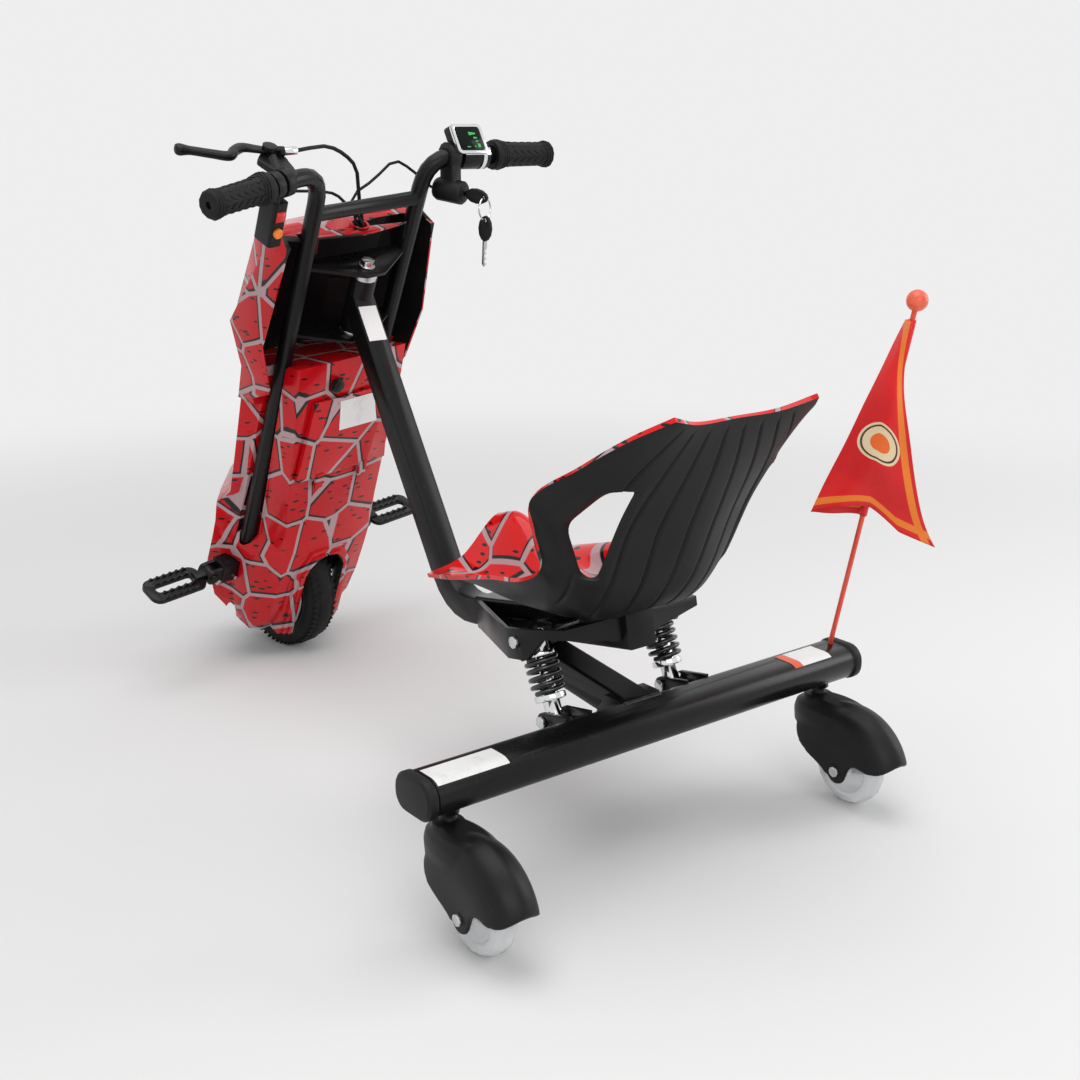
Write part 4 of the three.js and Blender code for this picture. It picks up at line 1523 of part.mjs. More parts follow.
// An even strip of changing width round a line in X and Q
function ribbon(points, widths) {
  const at = (i) => points[Math.min(Math.max(i, 0), points.length - 1)];
  const side = (sign) => points.map(([x, q], i) => {
    const along = new THREE.Vector2(at(i + 1)[0] - at(i - 1)[0], at(i + 1)[1] - at(i - 1)[1]).normalize();
    return [x - (along.y * sign * widths[i]) / 2, q + (along.x * sign * widths[i]) / 2];
  });
  return [...side(1), ...side(-1).reverse()];
}
const leverShares = [[-0.07, 0.02], [0.1, -0.06], [0.26, -0.16], [0.4, -0.06], [0.5, 0.02], [0.66, -0.09], [0.84, -0.2],
  [0.96, -0.25], [1, -0.26]];
const leverWidthShares = [0.1, 0.14, 0.14, 0.12, 0.115, 0.1, 0.1, 0.15, 0.11];
function brakeLever() {
  const points = leverShares.map(([x, q]) => [PIVOT_X + x * LEVER_LEN, PIVOT_Q + q * LEVER_LEN]);
  const strip = slab(ribbon(points, leverWidthShares.map((w) => w * LEVER_LEN)), PIVOT_S - LEVER_T / 2,
    PIVOT_S + LEVER_T / 2, 'z', EDGE);
  const pad = rod(PERCH_R - EDGE, leverPivot.clone().setZ(PIVOT_S - LEVER_T / 2), leverPivot.clone()
    .setZ(PIVOT_S + LEVER_T / 2), 14);
  const hole = rod(LEVER_PIN_R + GAP, leverPivot.clone().setZ(0), leverPivot.clone().setZ(2 * PIVOT_S), 10);
  return cut(join(strip, pad), hole);
}

const adjusterEnd = adjuster.clone().addScaledVector(adjusterDir, ADJUSTER_LEN);
const brakeCablePath = smooth([
  adjusterEnd.clone().addScaledVector(adjusterDir, -OVERRUN), adjusterEnd.clone().add(vec(-OVERRUN, 0, 0)),
  vec(0.39 * HULL_HALF_W, 2 * GLAND_Q, 2.05 * HULL_TOP), vec(0.18 * HULL_HALF_W, 1.97 * GLAND_Q, 1.91 * HULL_TOP),
  vec(0.026 * HULL_HALF_W, 1.86 * GLAND_Q, 1.71 * HULL_TOP), vec(-0.023 * HULL_HALF_W, 1.5 * GLAND_Q, 1.32 * HULL_TOP),
  glandPoint(-CABLE_SPREAD, -CABLE_SPREAD / 2, HULL_TOP + 2 * GLAND_RIM),
  glandPoint(-CABLE_SPREAD, -CABLE_SPREAD / 2, inGland)], 15);

function brakePerch() {
  const ring = barRing(PERCH_X0, PERCH_X1, CLAMP_R);
  const from = onBar(PERCH_X0 + PERCH_R).add(vec(0, -CLAMP_R * 0.5, CLAMP_R * 0.3));
  const arm = rod(PERCH_R * 0.8, from, leverPivot, 8);
  const boss = rod(PERCH_R, leverPivot.clone().setZ(PIVOT_S - LEVER_T - EDGE), leverPivot.clone()
    .setZ(PIVOT_S + LEVER_T + EDGE), 10);
  const nose = rod(PERCH_R * 0.75, leverPivot, adjuster, 8);
  const barrel = rod(ADJUSTER_R, adjuster, adjusterEnd, 10);
  const slotFrom = PIVOT_X - PERCH_R * 1.2;
  const slot = span(slotFrom, PIVOT_X + LEVER_LEN, PIVOT_Q - LEVER_LEN, PIVOT_Q + PERCH_R * 1.3,
    PIVOT_S - LEVER_T / 2 - RUN, PIVOT_S + LEVER_T / 2 + RUN);
  const pin = rod(LEVER_PIN_R, leverPivot.clone().setZ(PIVOT_S - LEVER_T), leverPivot.clone().setZ(PIVOT_S + LEVER_T), 8);
  const body = cut(join(ring, arm, boss, nose, barrel), slot);
  return cut(join(body, pin), leftBarRoom, tube(brakeCablePath, CABLE_R + GAP, 8));
}
place('brake_perch', brakePerch(), finish.frameBlack, steering);
place('brake_lever', brakeLever(), finish.frameBlack, steering);

// Switch box under the bar, with a rocker for the lights and a horn button
const BOX_X = 164;
const BOX_W = 20;
const BOX_D = 31;
const BOX_H = 58;
const BOX_TOP = 171;
const BOX_REAR_Q = 5;
const BOX_RING_X0 = 168;
const BOX_RING_X1 = 180;
const SWITCH_W = 12;
const SWITCH_R = 7.5;
const SWITCH_DROP = 18;
const SWITCH_CENTRE = 3; // how far its middle lies inside the box's face
const HORN_R = 6.5;
const HORN_DROP = 39;
const HORN_OUT = 4;
const HORN_IN = 7;
const switchMiddle = vec(BOX_X, BOX_REAR_Q - SWITCH_CENTRE, BOX_TOP - SWITCH_DROP);
const hornMiddle = vec(BOX_X, BOX_REAR_Q, BOX_TOP - HORN_DROP);
const switchLeadPath = smooth([vec(BOX_X - BOX_W / 2 + OVERRUN, BOX_REAR_Q - BOX_D * 0.7, BOX_TOP - BOX_H * 0.4),
  vec(BOX_X - BOX_W, 1.35 * GLAND_Q, BOX_TOP - BOX_H * 0.37),
  vec(0.86 * HULL_HALF_W, 1.75 * GLAND_Q, 1.53 * HULL_TOP), vec(0.36 * HULL_HALF_W, 2 * GLAND_Q, 1.41 * HULL_TOP),
  vec(0.18 * HULL_HALF_W, 1.93 * GLAND_Q, 1.34 * HULL_TOP), vec(0.085 * HULL_HALF_W, 1.5 * GLAND_Q, 1.22 * HULL_TOP),
  glandPoint(0, CABLE_SPREAD, HULL_TOP + 2 * GLAND_RIM), glandPoint(0, CABLE_SPREAD, inGland)], 15);

function switchBox() {
  const outline = roundRect(BOX_W, BOX_D, BOX_W / 5, BOX_X, BOX_REAR_Q - BOX_D / 2);
  const box = slab(outline, BOX_TOP - BOX_H, BOX_TOP, 'z');
  const ring = barRing(BOX_RING_X0, BOX_RING_X1, CLAMP_R);
  const neck = span(BOX_RING_X0, BOX_X + BOX_W / 2 - EDGE, BOX_REAR_Q - BOX_D * 0.8, BOX_REAR_Q - EDGE,
    BOX_TOP - BOX_H / 3, GRIP_S - BAR_R);
  const half = SWITCH_W / 2 + GAP;
  const pocket = rod(SWITCH_R + RUN, switchMiddle.clone().setX(BOX_X - half), switchMiddle.clone().setX(BOX_X + half), 14);
  const bore = rod(HORN_R + RUN, hornMiddle.clone().add(vec(0, -HORN_IN, 0)), hornMiddle.clone().add(vec(0, OVERRUN, 0)), 14);
  const lead = tube(switchLeadPath, LEAD_R + GAP, 8);
  return cut(join(box, ring, neck), pocket, bore, lead, leftBarRoom);
}

function lightSwitch() {
  const half = SWITCH_W / 2;
  const drum = rod(SWITCH_R, switchMiddle.clone().setX(BOX_X - half), switchMiddle.clone().setX(BOX_X + half), 14);
  return cut(drum, span(-WIDE, WIDE, BOX_REAR_Q + SWITCH_CENTRE, WIDE, -WIDE, WIDE));
}

function hornButton() {
  const profile = [[0, -HORN_IN + SWITCH_CENTRE], [HORN_R, -HORN_IN + SWITCH_CENTRE], [HORN_R, HORN_OUT - EDGE],
    [HORN_R - EDGE, HORN_OUT], [0, HORN_OUT]];
  return turned(profile, hornMiddle, vec(0, 1, 0), 14);
}
place('switch_box', switchBox(), finish.plasticBlack, steering);
place('light_switch', lightSwitch(), finish.red, steering);
place('horn_button', hornButton(), finish.orange, steering);

// Cables: the brake's from its adjuster, and the lock's and the switches' leads, all into the gland
place('brake_cable', tube(brakeCablePath, CABLE_R, 8), finish.rubber, steering);
place('lock_lead', tube(lockLeadPath, LEAD_R, 8), finish.rubber, steering);
place('switch_lead', tube(switchLeadPath, LEAD_R, 8), finish.rubber, steering);

// The part stands on the floor with its middle over the origin
const bounds = new THREE.Box3().setFromObject(root, true);
root.children.forEach((child) => {
  child.position.x -= (bounds.min.x + bounds.max.x) / 2;
  child.position.y -= (bounds.min.y + bounds.max.y) / 2;
  child.position.z -= bounds.min.z;
});

export default root;
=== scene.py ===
import math

import bmesh
import bpy
import numpy as np
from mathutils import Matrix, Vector
from mathutils.bvhtree import BVHTree


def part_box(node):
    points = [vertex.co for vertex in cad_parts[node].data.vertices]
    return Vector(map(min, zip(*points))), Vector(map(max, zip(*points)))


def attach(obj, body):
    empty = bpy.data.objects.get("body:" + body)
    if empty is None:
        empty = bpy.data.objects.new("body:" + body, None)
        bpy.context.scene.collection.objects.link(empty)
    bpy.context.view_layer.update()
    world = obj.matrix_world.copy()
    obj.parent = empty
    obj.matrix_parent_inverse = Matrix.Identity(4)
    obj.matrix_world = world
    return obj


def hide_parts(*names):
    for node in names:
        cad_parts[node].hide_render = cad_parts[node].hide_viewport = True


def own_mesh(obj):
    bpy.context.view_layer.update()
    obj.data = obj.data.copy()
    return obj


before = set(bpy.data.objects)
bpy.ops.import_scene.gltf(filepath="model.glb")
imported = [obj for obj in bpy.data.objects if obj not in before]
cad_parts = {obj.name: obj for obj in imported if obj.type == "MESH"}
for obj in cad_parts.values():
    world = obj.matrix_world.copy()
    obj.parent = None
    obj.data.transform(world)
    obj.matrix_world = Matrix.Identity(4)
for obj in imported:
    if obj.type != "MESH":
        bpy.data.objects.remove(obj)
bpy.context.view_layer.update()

# Camera: it stands behind the scooter and to the right of its line of travel, at seat height,
# and looks a little down on it. The lens takes in the whole scooter with some floor round it.
AIM = Vector((-0.03072, 0.14710, 0.29126))
TURN, RISE, AWAY = math.radians(142.29), math.radians(16.50), 1.8023
LENS, SENSOR = 49.23, 36
look_back = Vector((math.sin(TURN) * math.cos(RISE), -math.cos(TURN) * math.cos(RISE), math.sin(RISE)))
eye = bpy.data.objects.new("eye", bpy.data.cameras.new("eye"))
eye.data.lens, eye.data.sensor_width = LENS, SENSOR
eye.data.clip_start, eye.data.clip_end = 0.05, 60
eye.location = AIM + look_back * AWAY
eye.rotation_mode = "QUATERNION"
eye.rotation_quaternion = (-look_back).to_track_quat("-Z", "Y")
bpy.context.scene.collection.objects.link(eye)
bpy.context.scene.camera = eye
bpy.context.scene.view_settings.view_transform = "Standard"


# Painted steel: head tube, down tube, seat sleeve, side rails, swing arm, handlebar and pegs.
# It is tube and plate, welded and coated with a satin black powder that dries with a faint
# orange-peel skin and scuffs to a lighter grey where it is handled.
def add_node(tree, kind, sockets=None, output=0, **settings):
    """Adds a node, sets or links its inputs and gives back one of its outputs."""
    node = tree.nodes.new(kind)
    for key, value in settings.items():
        setattr(node, key, value)
    for key, value in (sockets or {}).items():
        if isinstance(value, bpy.types.NodeSocket):
            tree.links.new(value, node.inputs[key])
        else:
            node.inputs[key].default_value = value
    return node.outputs[output] if node.outputs else None


class Value:
    """A number or colour that changes over a surface; sums and products make Math nodes."""

    def __init__(self, finish, socket):
        self.finish, self.socket = finish, socket

    def math(self, operation, *parts):
        return self.finish.add("Math", dict(enumerate(parts)), operation=operation)

    def __add__(self, other): return self.math("ADD", self, other)
    def __radd__(self, other): return self.math("ADD", other, self)
    def __sub__(self, other): return self.math("SUBTRACT", self, other)
    def __rsub__(self, other): return self.math("SUBTRACT", other, self)
    def __mul__(self, other): return self.math("MULTIPLY", self, other)
    def __lt__(self, other): return self.math("LESS_THAN", self, other)
    def __gt__(self, other): return self.math("GREATER_THAN", self, other)
    def __or__(self, other): return self.math("MAXIMUM", self, other)
    def __and__(self, other): return self.math("MINIMUM", self, other)
    def root(self): return self.math("SQRT", self)
    def wave(self): return self.math("SINE", self)


class Finish:
    """A material under its Principled shader; add() makes a shader node and gives back its output."""

    def __init__(self, name, **constants):
        self.material = bpy.data.materials.new(name)
        self.material.use_nodes = True
        self.tree = self.material.node_tree
        self.shader = self.tree.nodes["Principled BSDF"]
        for socket, value in constants.items():
            self.shader.inputs[socket.replace("_", " ")].default_value = value
        self.place = self.add("TexCoord", output="Object")

    def add(self, kind, sockets=None, output=0, **settings):
        given = {key: getattr(value, "socket", value) for key, value in (sockets or {}).items()}
        return Value(self, add_node(self.tree, "ShaderNode" + kind, given, output, **settings))

    def noise(self, scale, detail=2, place=None):
        return self.add("TexNoise", {
            "Vector": place or self.place, "Scale": scale, "Detail": detail})

    def cells(self, scale, feature, place=None, random=1.0):
        return self.add("TexVoronoi", {
            "Vector": place or self.place, "Scale": scale, "Randomness": random}, "Distance", feature=feature)

    def between(self, value, low, high, from_value=0.0, to_value=1.0):
        return self.add("MapRange", {
            "Value": value, "From Min": low, "From Max": high, "To Min": from_value, "To Max": to_value},
            interpolation_type="SMOOTHSTEP")

    def blend(self, share, *colours):
        first, second = ((*c, 1) if isinstance(c, tuple) else c for c in colours)
        return self.add("Mix", {0: share, 6: first, 7: second}, 2, data_type="RGBA")

    def moved(self, by=(0, 0, 0), scale=(1, 1, 1), turn=(0, 0, 0)):
        return self.add("Mapping", {
            "Vector": self.place, "Location": by, "Scale": scale, "Rotation": turn})

    def axes(self, place):
        node = self.add("SeparateXYZ", {0: place}).socket.node
        return [Value(self, out) for out in node.outputs]

    def give(self, colour, rough, height=None, depth=0.001, strength=1.0, glow=None):
        """Joins the values to the shader; the height, if any, becomes its bump."""
        if height:
            height = self.add("Bump", {"Height": height, "Distance": depth, "Strength": strength})
        for key, value in (("Base Color", colour), ("Roughness", rough), ("Normal", height),
                           ("Emission Color", glow)):
            if isinstance(value, Value):
                self.tree.links.new(value.socket, self.shader.inputs[key])
            elif value is not None:
                self.shader.inputs[key].default_value = value
        return self.material


def linked(name, mesh):
    piece = bpy.data.objects.new(name, mesh)
    bpy.context.scene.collection.objects.link(piece)
    return piece


def set_on(piece, body, stands_for=None):
    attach(piece, body)
    if stands_for:
        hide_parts(stands_for)
    return piece


def settled(piece):
    """The piece with its modifiers made part of its mesh."""
    graph = bpy.context.evaluated_depsgraph_get()
    mesh = bpy.data.meshes.new_from_object(piece.evaluated_get(graph))
    piece.modifiers.clear()
    piece.data = mesh
    return piece


def finished(node, body, slot, *materials, edge=0.0, sharp=38, pick=None):
    """A node's own solid with its facets joined, its edges rounded and its finish put on."""
    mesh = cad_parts[node].data.copy()
    mesh.name = node + "_made"
    work = bmesh.new()
    work.from_mesh(mesh)
    bmesh.ops.remove_doubles(work, verts=work.verts, dist=2e-6)
    bmesh.ops.dissolve_limit(work, angle_limit=math.radians(0.6), verts=work.verts, edges=work.edges)
    work.to_mesh(mesh)
    work.free()
    mesh.materials.clear()
    for material in materials:
        mesh.materials.append(material)
    piece = linked(node + "_made", mesh)
    if edge:
        round_off = piece.modifiers.new("rounding", "BEVEL")
        round_off.width, round_off.segments = edge, 2
        round_off.limit_method, round_off.angle_limit = "ANGLE", math.radians(sharp)
        round_off.use_clamp_overlap = True
        settled(piece)
    for face in piece.data.polygons:
        face.use_smooth = True
        face.material_index = pick(face) if pick else 0
    piece.data.set_sharp_from_angle(angle=math.radians(sharp))
    set_on(piece, body, node)


coat = Finish("satin_black_coat", Specular_IOR_Level=0.22)
worn = coat.between(coat.noise(9, 4), 0.42, 0.75)
scuffs = coat.between(coat.noise(130, 2, coat.moved(scale=(1, 1, 0.2))), 0.66, 0.8)
steel_coat = coat.give(
    coat.blend(scuffs * 0.3, coat.blend(worn * 0.5, (0.0050, 0.0050, 0.0056), (0.0092, 0.0092, 0.0102)),
               (0.04, 0.04, 0.043)),
    0.27 + worn * 0.1 + scuffs * 0.1, coat.noise(900, 1), 0.00012, 0.5)
for node, body, edge in (
        ("front_frame", "frame", 0.0012), ("rear_frame", "frame", 0.0012), ("swing_arm", "rear_arm", 0.0014),
        ("handlebar", "steering", 0.0006), ("peg_mount_left", "steering", 0.0005),
        ("peg_mount_right", "steering", 0.0005), ("foot_peg_left", "foot_peg_left", 0.0005),
        ("foot_peg_right", "foot_peg_right", 0.0005)):
    finished(node, body, "frame_black", steel_coat, edge=edge)


# Weld beads: short overlapping ripples laid where the tubes meet, coated over in the same black.
# They run round the rear of the head tube and over the arm where it meets the beam.
def bead_tree():
    tree = bpy.data.node_groups.new("ripples_along_a_line", "GeometryNodeTree")
    make = lambda name, kind, way="INPUT": tree.interface.new_socket(
        name=name, in_out=way, socket_type="NodeSocket" + kind).identifier
    keys = {name: make(name, kind) for name, kind in (
        ("Line", "Geometry"), ("Spacing", "Float"), ("Size", "Vector"), ("Out from", "Vector"),
        ("Turn", "Float"), ("Unevenness", "Float"), ("Seed", "Int"), ("Block", "Bool"),
        ("Finish", "Material"))}
    make("Pieces", "Geometry", "OUTPUT")
    add = lambda *node, **settings: add_node(tree, *node, **settings)
    given = tree.nodes.new("NodeGroupInput").outputs
    curve = add("GeometryNodeMeshToCurve", {"Mesh": given["Line"]})
    spaced = add("GeometryNodeResampleCurve", {"Curve": curve, "Length": given["Spacing"]}, mode="LENGTH")
    ball = add("GeometryNodeMeshUVSphere", {"Segments": 10, "Rings": 6, "Radius": 0.5})
    cube = add("GeometryNodeMeshCube", {"Size": (1, 1, 1)})
    shape = add("GeometryNodeSwitch", {0: given["Block"], 1: ball, 2: cube}, input_type="GEOMETRY")
    place = add("GeometryNodeInputPosition")
    outward = add("ShaderNodeVectorMath", {0: place, 1: given["Out from"]}, operation="SUBTRACT")
    tangent = add("GeometryNodeInputTangent")
    first = add("FunctionNodeAlignRotationToVector", {"Vector": tangent}, axis="X")
    second = add("FunctionNodeAlignRotationToVector", {"Rotation": first, "Vector": outward},
                 axis="Z", pivot_axis="X")
    euler = add("ShaderNodeCombineXYZ", {2: given["Turn"]})
    turn = add("FunctionNodeRotateRotation", {0: second, 1: euler}, rotation_space="LOCAL")
    least = add("ShaderNodeMath", {0: 1, 1: given["Unevenness"]}, operation="SUBTRACT")
    uneven = add("FunctionNodeRandomValue", {"Seed": given["Seed"], 2: least, 3: 1}, 1, data_type="FLOAT")
    size = add("ShaderNodeVectorMath", {0: given["Size"], "Scale": uneven}, operation="SCALE")
    laid = add("GeometryNodeInstanceOnPoints", {
        "Points": spaced, "Instance": shape, "Rotation": turn, "Scale": size})
    real = add("GeometryNodeRealizeInstances", {"Geometry": laid})
    smooth = add("GeometryNodeSetShadeSmooth", {"Geometry": real})
    done = add("GeometryNodeSetMaterial", {"Geometry": smooth, "Material": given["Finish"]})
    add("NodeGroupOutput", {0: done})
    return tree, keys


ripples, ripple_inputs = bead_tree()


def along_line(name, body, line, material, spacing, size, out_from,
               turn=0.0, uneven=0.25, block=False):
    """Lays a small ripple or block at equal steps along a line of points."""
    mesh = bpy.data.meshes.new(name)
    mesh.from_pydata([tuple(p) for p in line], [(i, i + 1) for i in range(len(line) - 1)], [])
    piece = linked(name, mesh)
    laid = piece.modifiers.new("laid", "NODES")
    laid.node_group = ripples
    for key, value in (("Spacing", spacing), ("Size", size), ("Out from", tuple(out_from)), ("Turn", turn),
                       ("Unevenness", uneven), ("Seed", RIPPLE_SEED), ("Block", block), ("Finish", material)):
        laid[ripple_inputs[key]] = value
    set_on(settled(piece), body)


RIPPLE_SEED = 3
TUBE_LEAN, BAR_TURN = math.radians(26.4), math.radians(10)
FRAME_X, FRAME_Y, FRAME_Z = 0.01618, 0.407497, 0.000063  # the floor below the rear beam's middle
STEM = Vector((FRAME_X, -0.185503, 0.550063))  # the middle of the head tube
UP = Vector((0, 0, 1))
UP_STEM = Vector((0, math.sin(TUBE_LEAN), math.cos(TUBE_LEAN)))
BACK_STEM = Vector((-math.sin(BAR_TURN), math.cos(BAR_TURN) * math.cos(TUBE_LEAN),
                    -math.cos(BAR_TURN) * math.sin(TUBE_LEAN)))
LEFT_STEM = Vector((math.cos(BAR_TURN), math.sin(BAR_TURN) * math.cos(TUBE_LEAN),
                    -math.sin(BAR_TURN) * math.sin(TUBE_LEAN)))


def by_stem(x, q, s):
    """A point that turns with the bars: to the left hand, to the rear and up the stem, in mm."""
    return STEM + (LEFT_STEM * x + BACK_STEM * q + UP_STEM * s) / 1000


def by_frame(x, y, z):
    """A point of the frame from its own zero below the rear beam, in mm."""
    return Vector((FRAME_X + x / 1000, FRAME_Y + y / 1000, FRAME_Z + z / 1000))


def rays_on(mesh):
    """The mesh's facets, ready to be met by straight lines."""
    return BVHTree.FromPolygons([v.co for v in mesh.vertices], [p.vertices for p in mesh.polygons])


def drifting(name, drift, first, second, gloss, grain=None, stretch=None, **constants):
    """A finish that drifts between two colours and two degrees of gloss, over a fine grain.

    The drift is a noise's scale and detail with its two limits, the gloss a roughness and what the
    drift adds to it, and the grain a noise's scale and detail with its bump's depth and strength."""
    finish = Finish(name, **constants)
    scale, detail, low, high = drift
    place = finish.moved(scale=stretch) if stretch else None
    share = finish.between(finish.noise(scale, detail, place), low, high)
    bump = (finish.noise(*grain[:2]), *grain[2:]) if grain else ()
    return finish.give(finish.blend(share, first, second), gloss[0] + share * gloss[1], *bump)


WELD_STEP, HEAD_TUBE_R = 0.0026, 0.0172
bright_coat = drifting("glossy_weld_coat", (500, 2, 0.4, 0.6), (0.010, 0.010, 0.011), (0.05, 0.05, 0.052),
                       (0.12, 0.1), (700, 2, 0.0003, 0.6), Specular_IOR_Level=0.5, Coat_Weight=0.8,
                       Coat_Roughness=0.05)
arm_tree = rays_on(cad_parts["swing_arm"].data)
arm_hits = [arm_tree.ray_cast(by_frame(x, -13, 260), -UP)[0] for x in range(-22, 27, 4)]
along_line("arm_weld", "rear_arm", [hit for hit in arm_hits if hit], bright_coat,
           WELD_STEP, (0.0036, 0.0080, 0.0030), by_frame(0, -13, 100))
head_ring = [STEM - UP_STEM * 0.0185 + HEAD_TUBE_R * Vector((
    math.sin(a), math.cos(a) * math.cos(TUBE_LEAN), -math.cos(a) * math.sin(TUBE_LEAN)))
    for a in (math.radians(-62 + i * 124 / 24) for i in range(25))]
along_line("head_weld", "frame", head_ring, steel_coat,
           WELD_STEP, (0.0034, 0.0055, 0.0040), STEM - UP_STEM * 0.0195)


# Moulded plastic: beam ends, switch box, charge socket and its cap, and the controller's case.
# It is black with a fine spark-eroded grain, duller in patches and scratched paler in places.
def moulded(name, grain=1500, rough=0.42):
    plastic = Finish(name, Specular_IOR_Level=0.24)
    patch = plastic.between(plastic.noise(14, 3), 0.35, 0.7)
    marks = plastic.between(plastic.noise(240, 2, plastic.moved(scale=(1, 0.25, 1))), 0.68, 0.82)
    colour = plastic.blend(patch, (0.0055, 0.0055, 0.0062), (0.0090, 0.0090, 0.0098))
    return plastic.give(plastic.blend(marks * 0.2, colour, (0.045, 0.045, 0.047)),
                        rough + patch * 0.08 + marks * 0.1, plastic.noise(grain, 1), 0.0001, 0.6)


black_plastic = moulded("moulded_black_plastic")
for side in ("left", "right"):
    finished("beam_cap_" + side, "rear_arm", "plastic_black", black_plastic, edge=0.0008, sharp=42)
for node, body, edge in (("switch_box", "steering", 0.0006), ("charge_socket", "steering", 0),
                         ("charge_cap", "charge_cap", 0.0004)):
    finished(node, body, "plastic_black", black_plastic, edge=edge)
finished("motor_controller", "steering", "alloy", moulded("controller_case", 300, 0.4), edge=0.0006)


# Bright metal: plated shock bodies and yokes, zinc bolts and pins, the brake lever's clamp.
# The plating mirrors its surroundings, with faint smears; the zinc is duller and cloudy.
def plated(name, tone, low, high):
    metal = Finish(name, Metallic=1.0)
    smear = metal.noise(60, 4, metal.moved(scale=(1, 1, 0.4)))
    haze = metal.between(smear, 0.35, 0.75)
    return metal.give(metal.blend(haze, tone, tuple(c * 0.86 for c in tone)),
                      metal.between(smear, 0.3, 0.8, low, high), metal.noise(420, 2), 0.00005, 0.25)


chrome = plated("bright_plating", (0.82, 0.83, 0.84), 0.06, 0.2)
zinc = plated("zinc_plating", (0.62, 0.63, 0.64), 0.22, 0.4)
for side in ("left", "right"):
    for name in ("shock_upper_" + side, "shock_lower_" + side):
        finished(name, name, "chrome", chrome, edge=0.0004)
    for name, body in (("shock_top_bolt_", "frame"), ("shock_low_bolt_", "rear_arm"),
                       ("caster_axle_", "caster_" + side)):
        finished(name + side, body, "steel", zinc, edge=0.0004)
for node, body in (("head_bearing_upper", "frame"), ("head_bearing_lower", "frame"),
                   ("swing_pivot_bolt", "frame"), ("steering_bolt", "steering"), ("front_axle", "steering")):
    finished(node, body, "steel", zinc, edge=0.0003)
BARREL_FROM = by_stem(129, -47, 208)
finished("brake_perch", "steering", "plastic_black", black_plastic, chrome, edge=0.0004,
         pick=lambda face: int((face.center - BARREL_FROM).dot(LEFT_STEM) < 0))
finished("key_ring", "key_ring", "steel", zinc)
finished("front_hub", "front_wheel", "alloy", plated("cast_alloy", (0.42, 0.43, 0.44), 0.3, 0.5))


# Shock springs: 5.6 mm wire in four and a half turns, closed at both ends, dipped in black enamel.
# Each is wound on its shock's own axis.
WIRE_R, COIL_R, TURNS, COIL_STEPS = 0.0028, 0.0166, 4.5, 220
TRAVEL = 0.0132  # how much the spring shortens at the end of the arm's way
SHOCK_WAY, SIDEWAYS = Vector((0, -0.416277, 0.909238)), Vector((1, 0, 0))
enamel = drifting("black_enamel", (70, 3, 0.4, 0.7), (0.006, 0.006, 0.007), (0.013, 0.013, 0.014), (0.2, 0.1),
                  (500, 1, 0.00005, 0.3), Coat_Weight=0.5, Coat_Roughness=0.08)


def round_steps(count):
    """The angles of one full turn in equal steps."""
    return [2 * math.pi * k / count for k in range(count)]


def skinned(work, rings, capped=True):
    """Facets from each ring of vertices to the next, and over the first and the last."""
    for a, b in zip(rings, rings[1:]):
        for k in range(len(a)):
            n = (k + 1) % len(a)
            work.faces.new((a[k], a[n], b[n], b[k]))
    if capped:
        work.faces.new(list(reversed(rings[0])))
        work.faces.new(rings[-1])


def built(name, work, *materials, smooth=0, sharp=None, join=0.0):
    """An object of the worked mesh; its facets with up to so many corners are shaded smooth."""
    bmesh.ops.recalc_face_normals(work, faces=work.faces)
    if join:
        bmesh.ops.remove_doubles(work, verts=work.verts, dist=join)
    mesh = bpy.data.meshes.new(name)
    work.to_mesh(mesh)
    work.free()
    for face in mesh.polygons:
        face.use_smooth = len(face.vertices) <= smooth
    if sharp:
        mesh.set_sharp_from_angle(angle=math.radians(sharp))
    for material in materials:
        mesh.materials.append(material)
    return linked(name, mesh)


def tube_along(name, points, radius, material, sides, closed=False):
    """A round tube along a line of points, its section carried along without twist."""
    work = bmesh.new()
    ways = [(points[min(i + 1, len(points) - 1)] - points[max(i - 1, 0)]).normalized()
            for i in range(len(points))]
    across = ways[0].orthogonal().normalized()
    rings = []
    for point, way in zip(points, ways):
        across = (across - way * across.dot(way)).normalized()
        other = way.cross(across)
        rings.append([work.verts.new(point + (across * math.cos(a) + other * math.sin(a)) * radius)
                      for a in round_steps(sides)])
    skinned(work, rings, capped=not closed)
    return built(name, work, material, smooth=4, join=1e-5 if closed else 0)


flat = SHOCK_WAY.cross(SIDEWAYS)
for side in ("left", "right"):
    corners = [v.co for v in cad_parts["shock_spring_" + side].data.vertices]
    across, deep, along = ([c.dot(way) for c in corners] for way in (SIDEWAYS, flat, SHOCK_WAY))
    core = SIDEWAYS * (min(across) + max(across)) / 2 + flat * (min(deep) + max(deep)) / 2
    low, high = min(along) + WIRE_R * 1.02, max(along) - WIRE_R * 1.02
    line = []
    for i in range(COIL_STEPS + 1):
        share = i / COIL_STEPS
        lift = share - math.sin(2 * math.pi * share) * 0.035 / 2
        ring = 2 * math.pi * TURNS * share
        line.append(core + SHOCK_WAY * (low + (high - low) * lift)
                    + (SIDEWAYS * math.cos(ring) + flat * math.sin(ring)) * COIL_R)
    spring = set_on(tube_along("spring_" + side, line, WIRE_R, enamel, 14), "shock_upper_" + side,
                    "shock_spring_" + side)
    core + SHOCK_WAY * (high + WIRE_R)
    1 - TRAVEL / (high - low + 2 * WIRE_R)
    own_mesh(spring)


# Casters: milky clear polyurethane wheels on the hoods' bolts, a little cloudy inside,
# with a fine unevenness left by the mould.
clear = drifting("clear_polyurethane", (35, 3, 0.3, 0.75), (0.88, 0.9, 0.92), (0.96, 0.97, 0.98),
                 (0.12, 0.16), (200, 2, 0.0001, 0.3), Transmission_Weight=0.45, IOR=1.46,
                 Specular_IOR_Level=0.5)
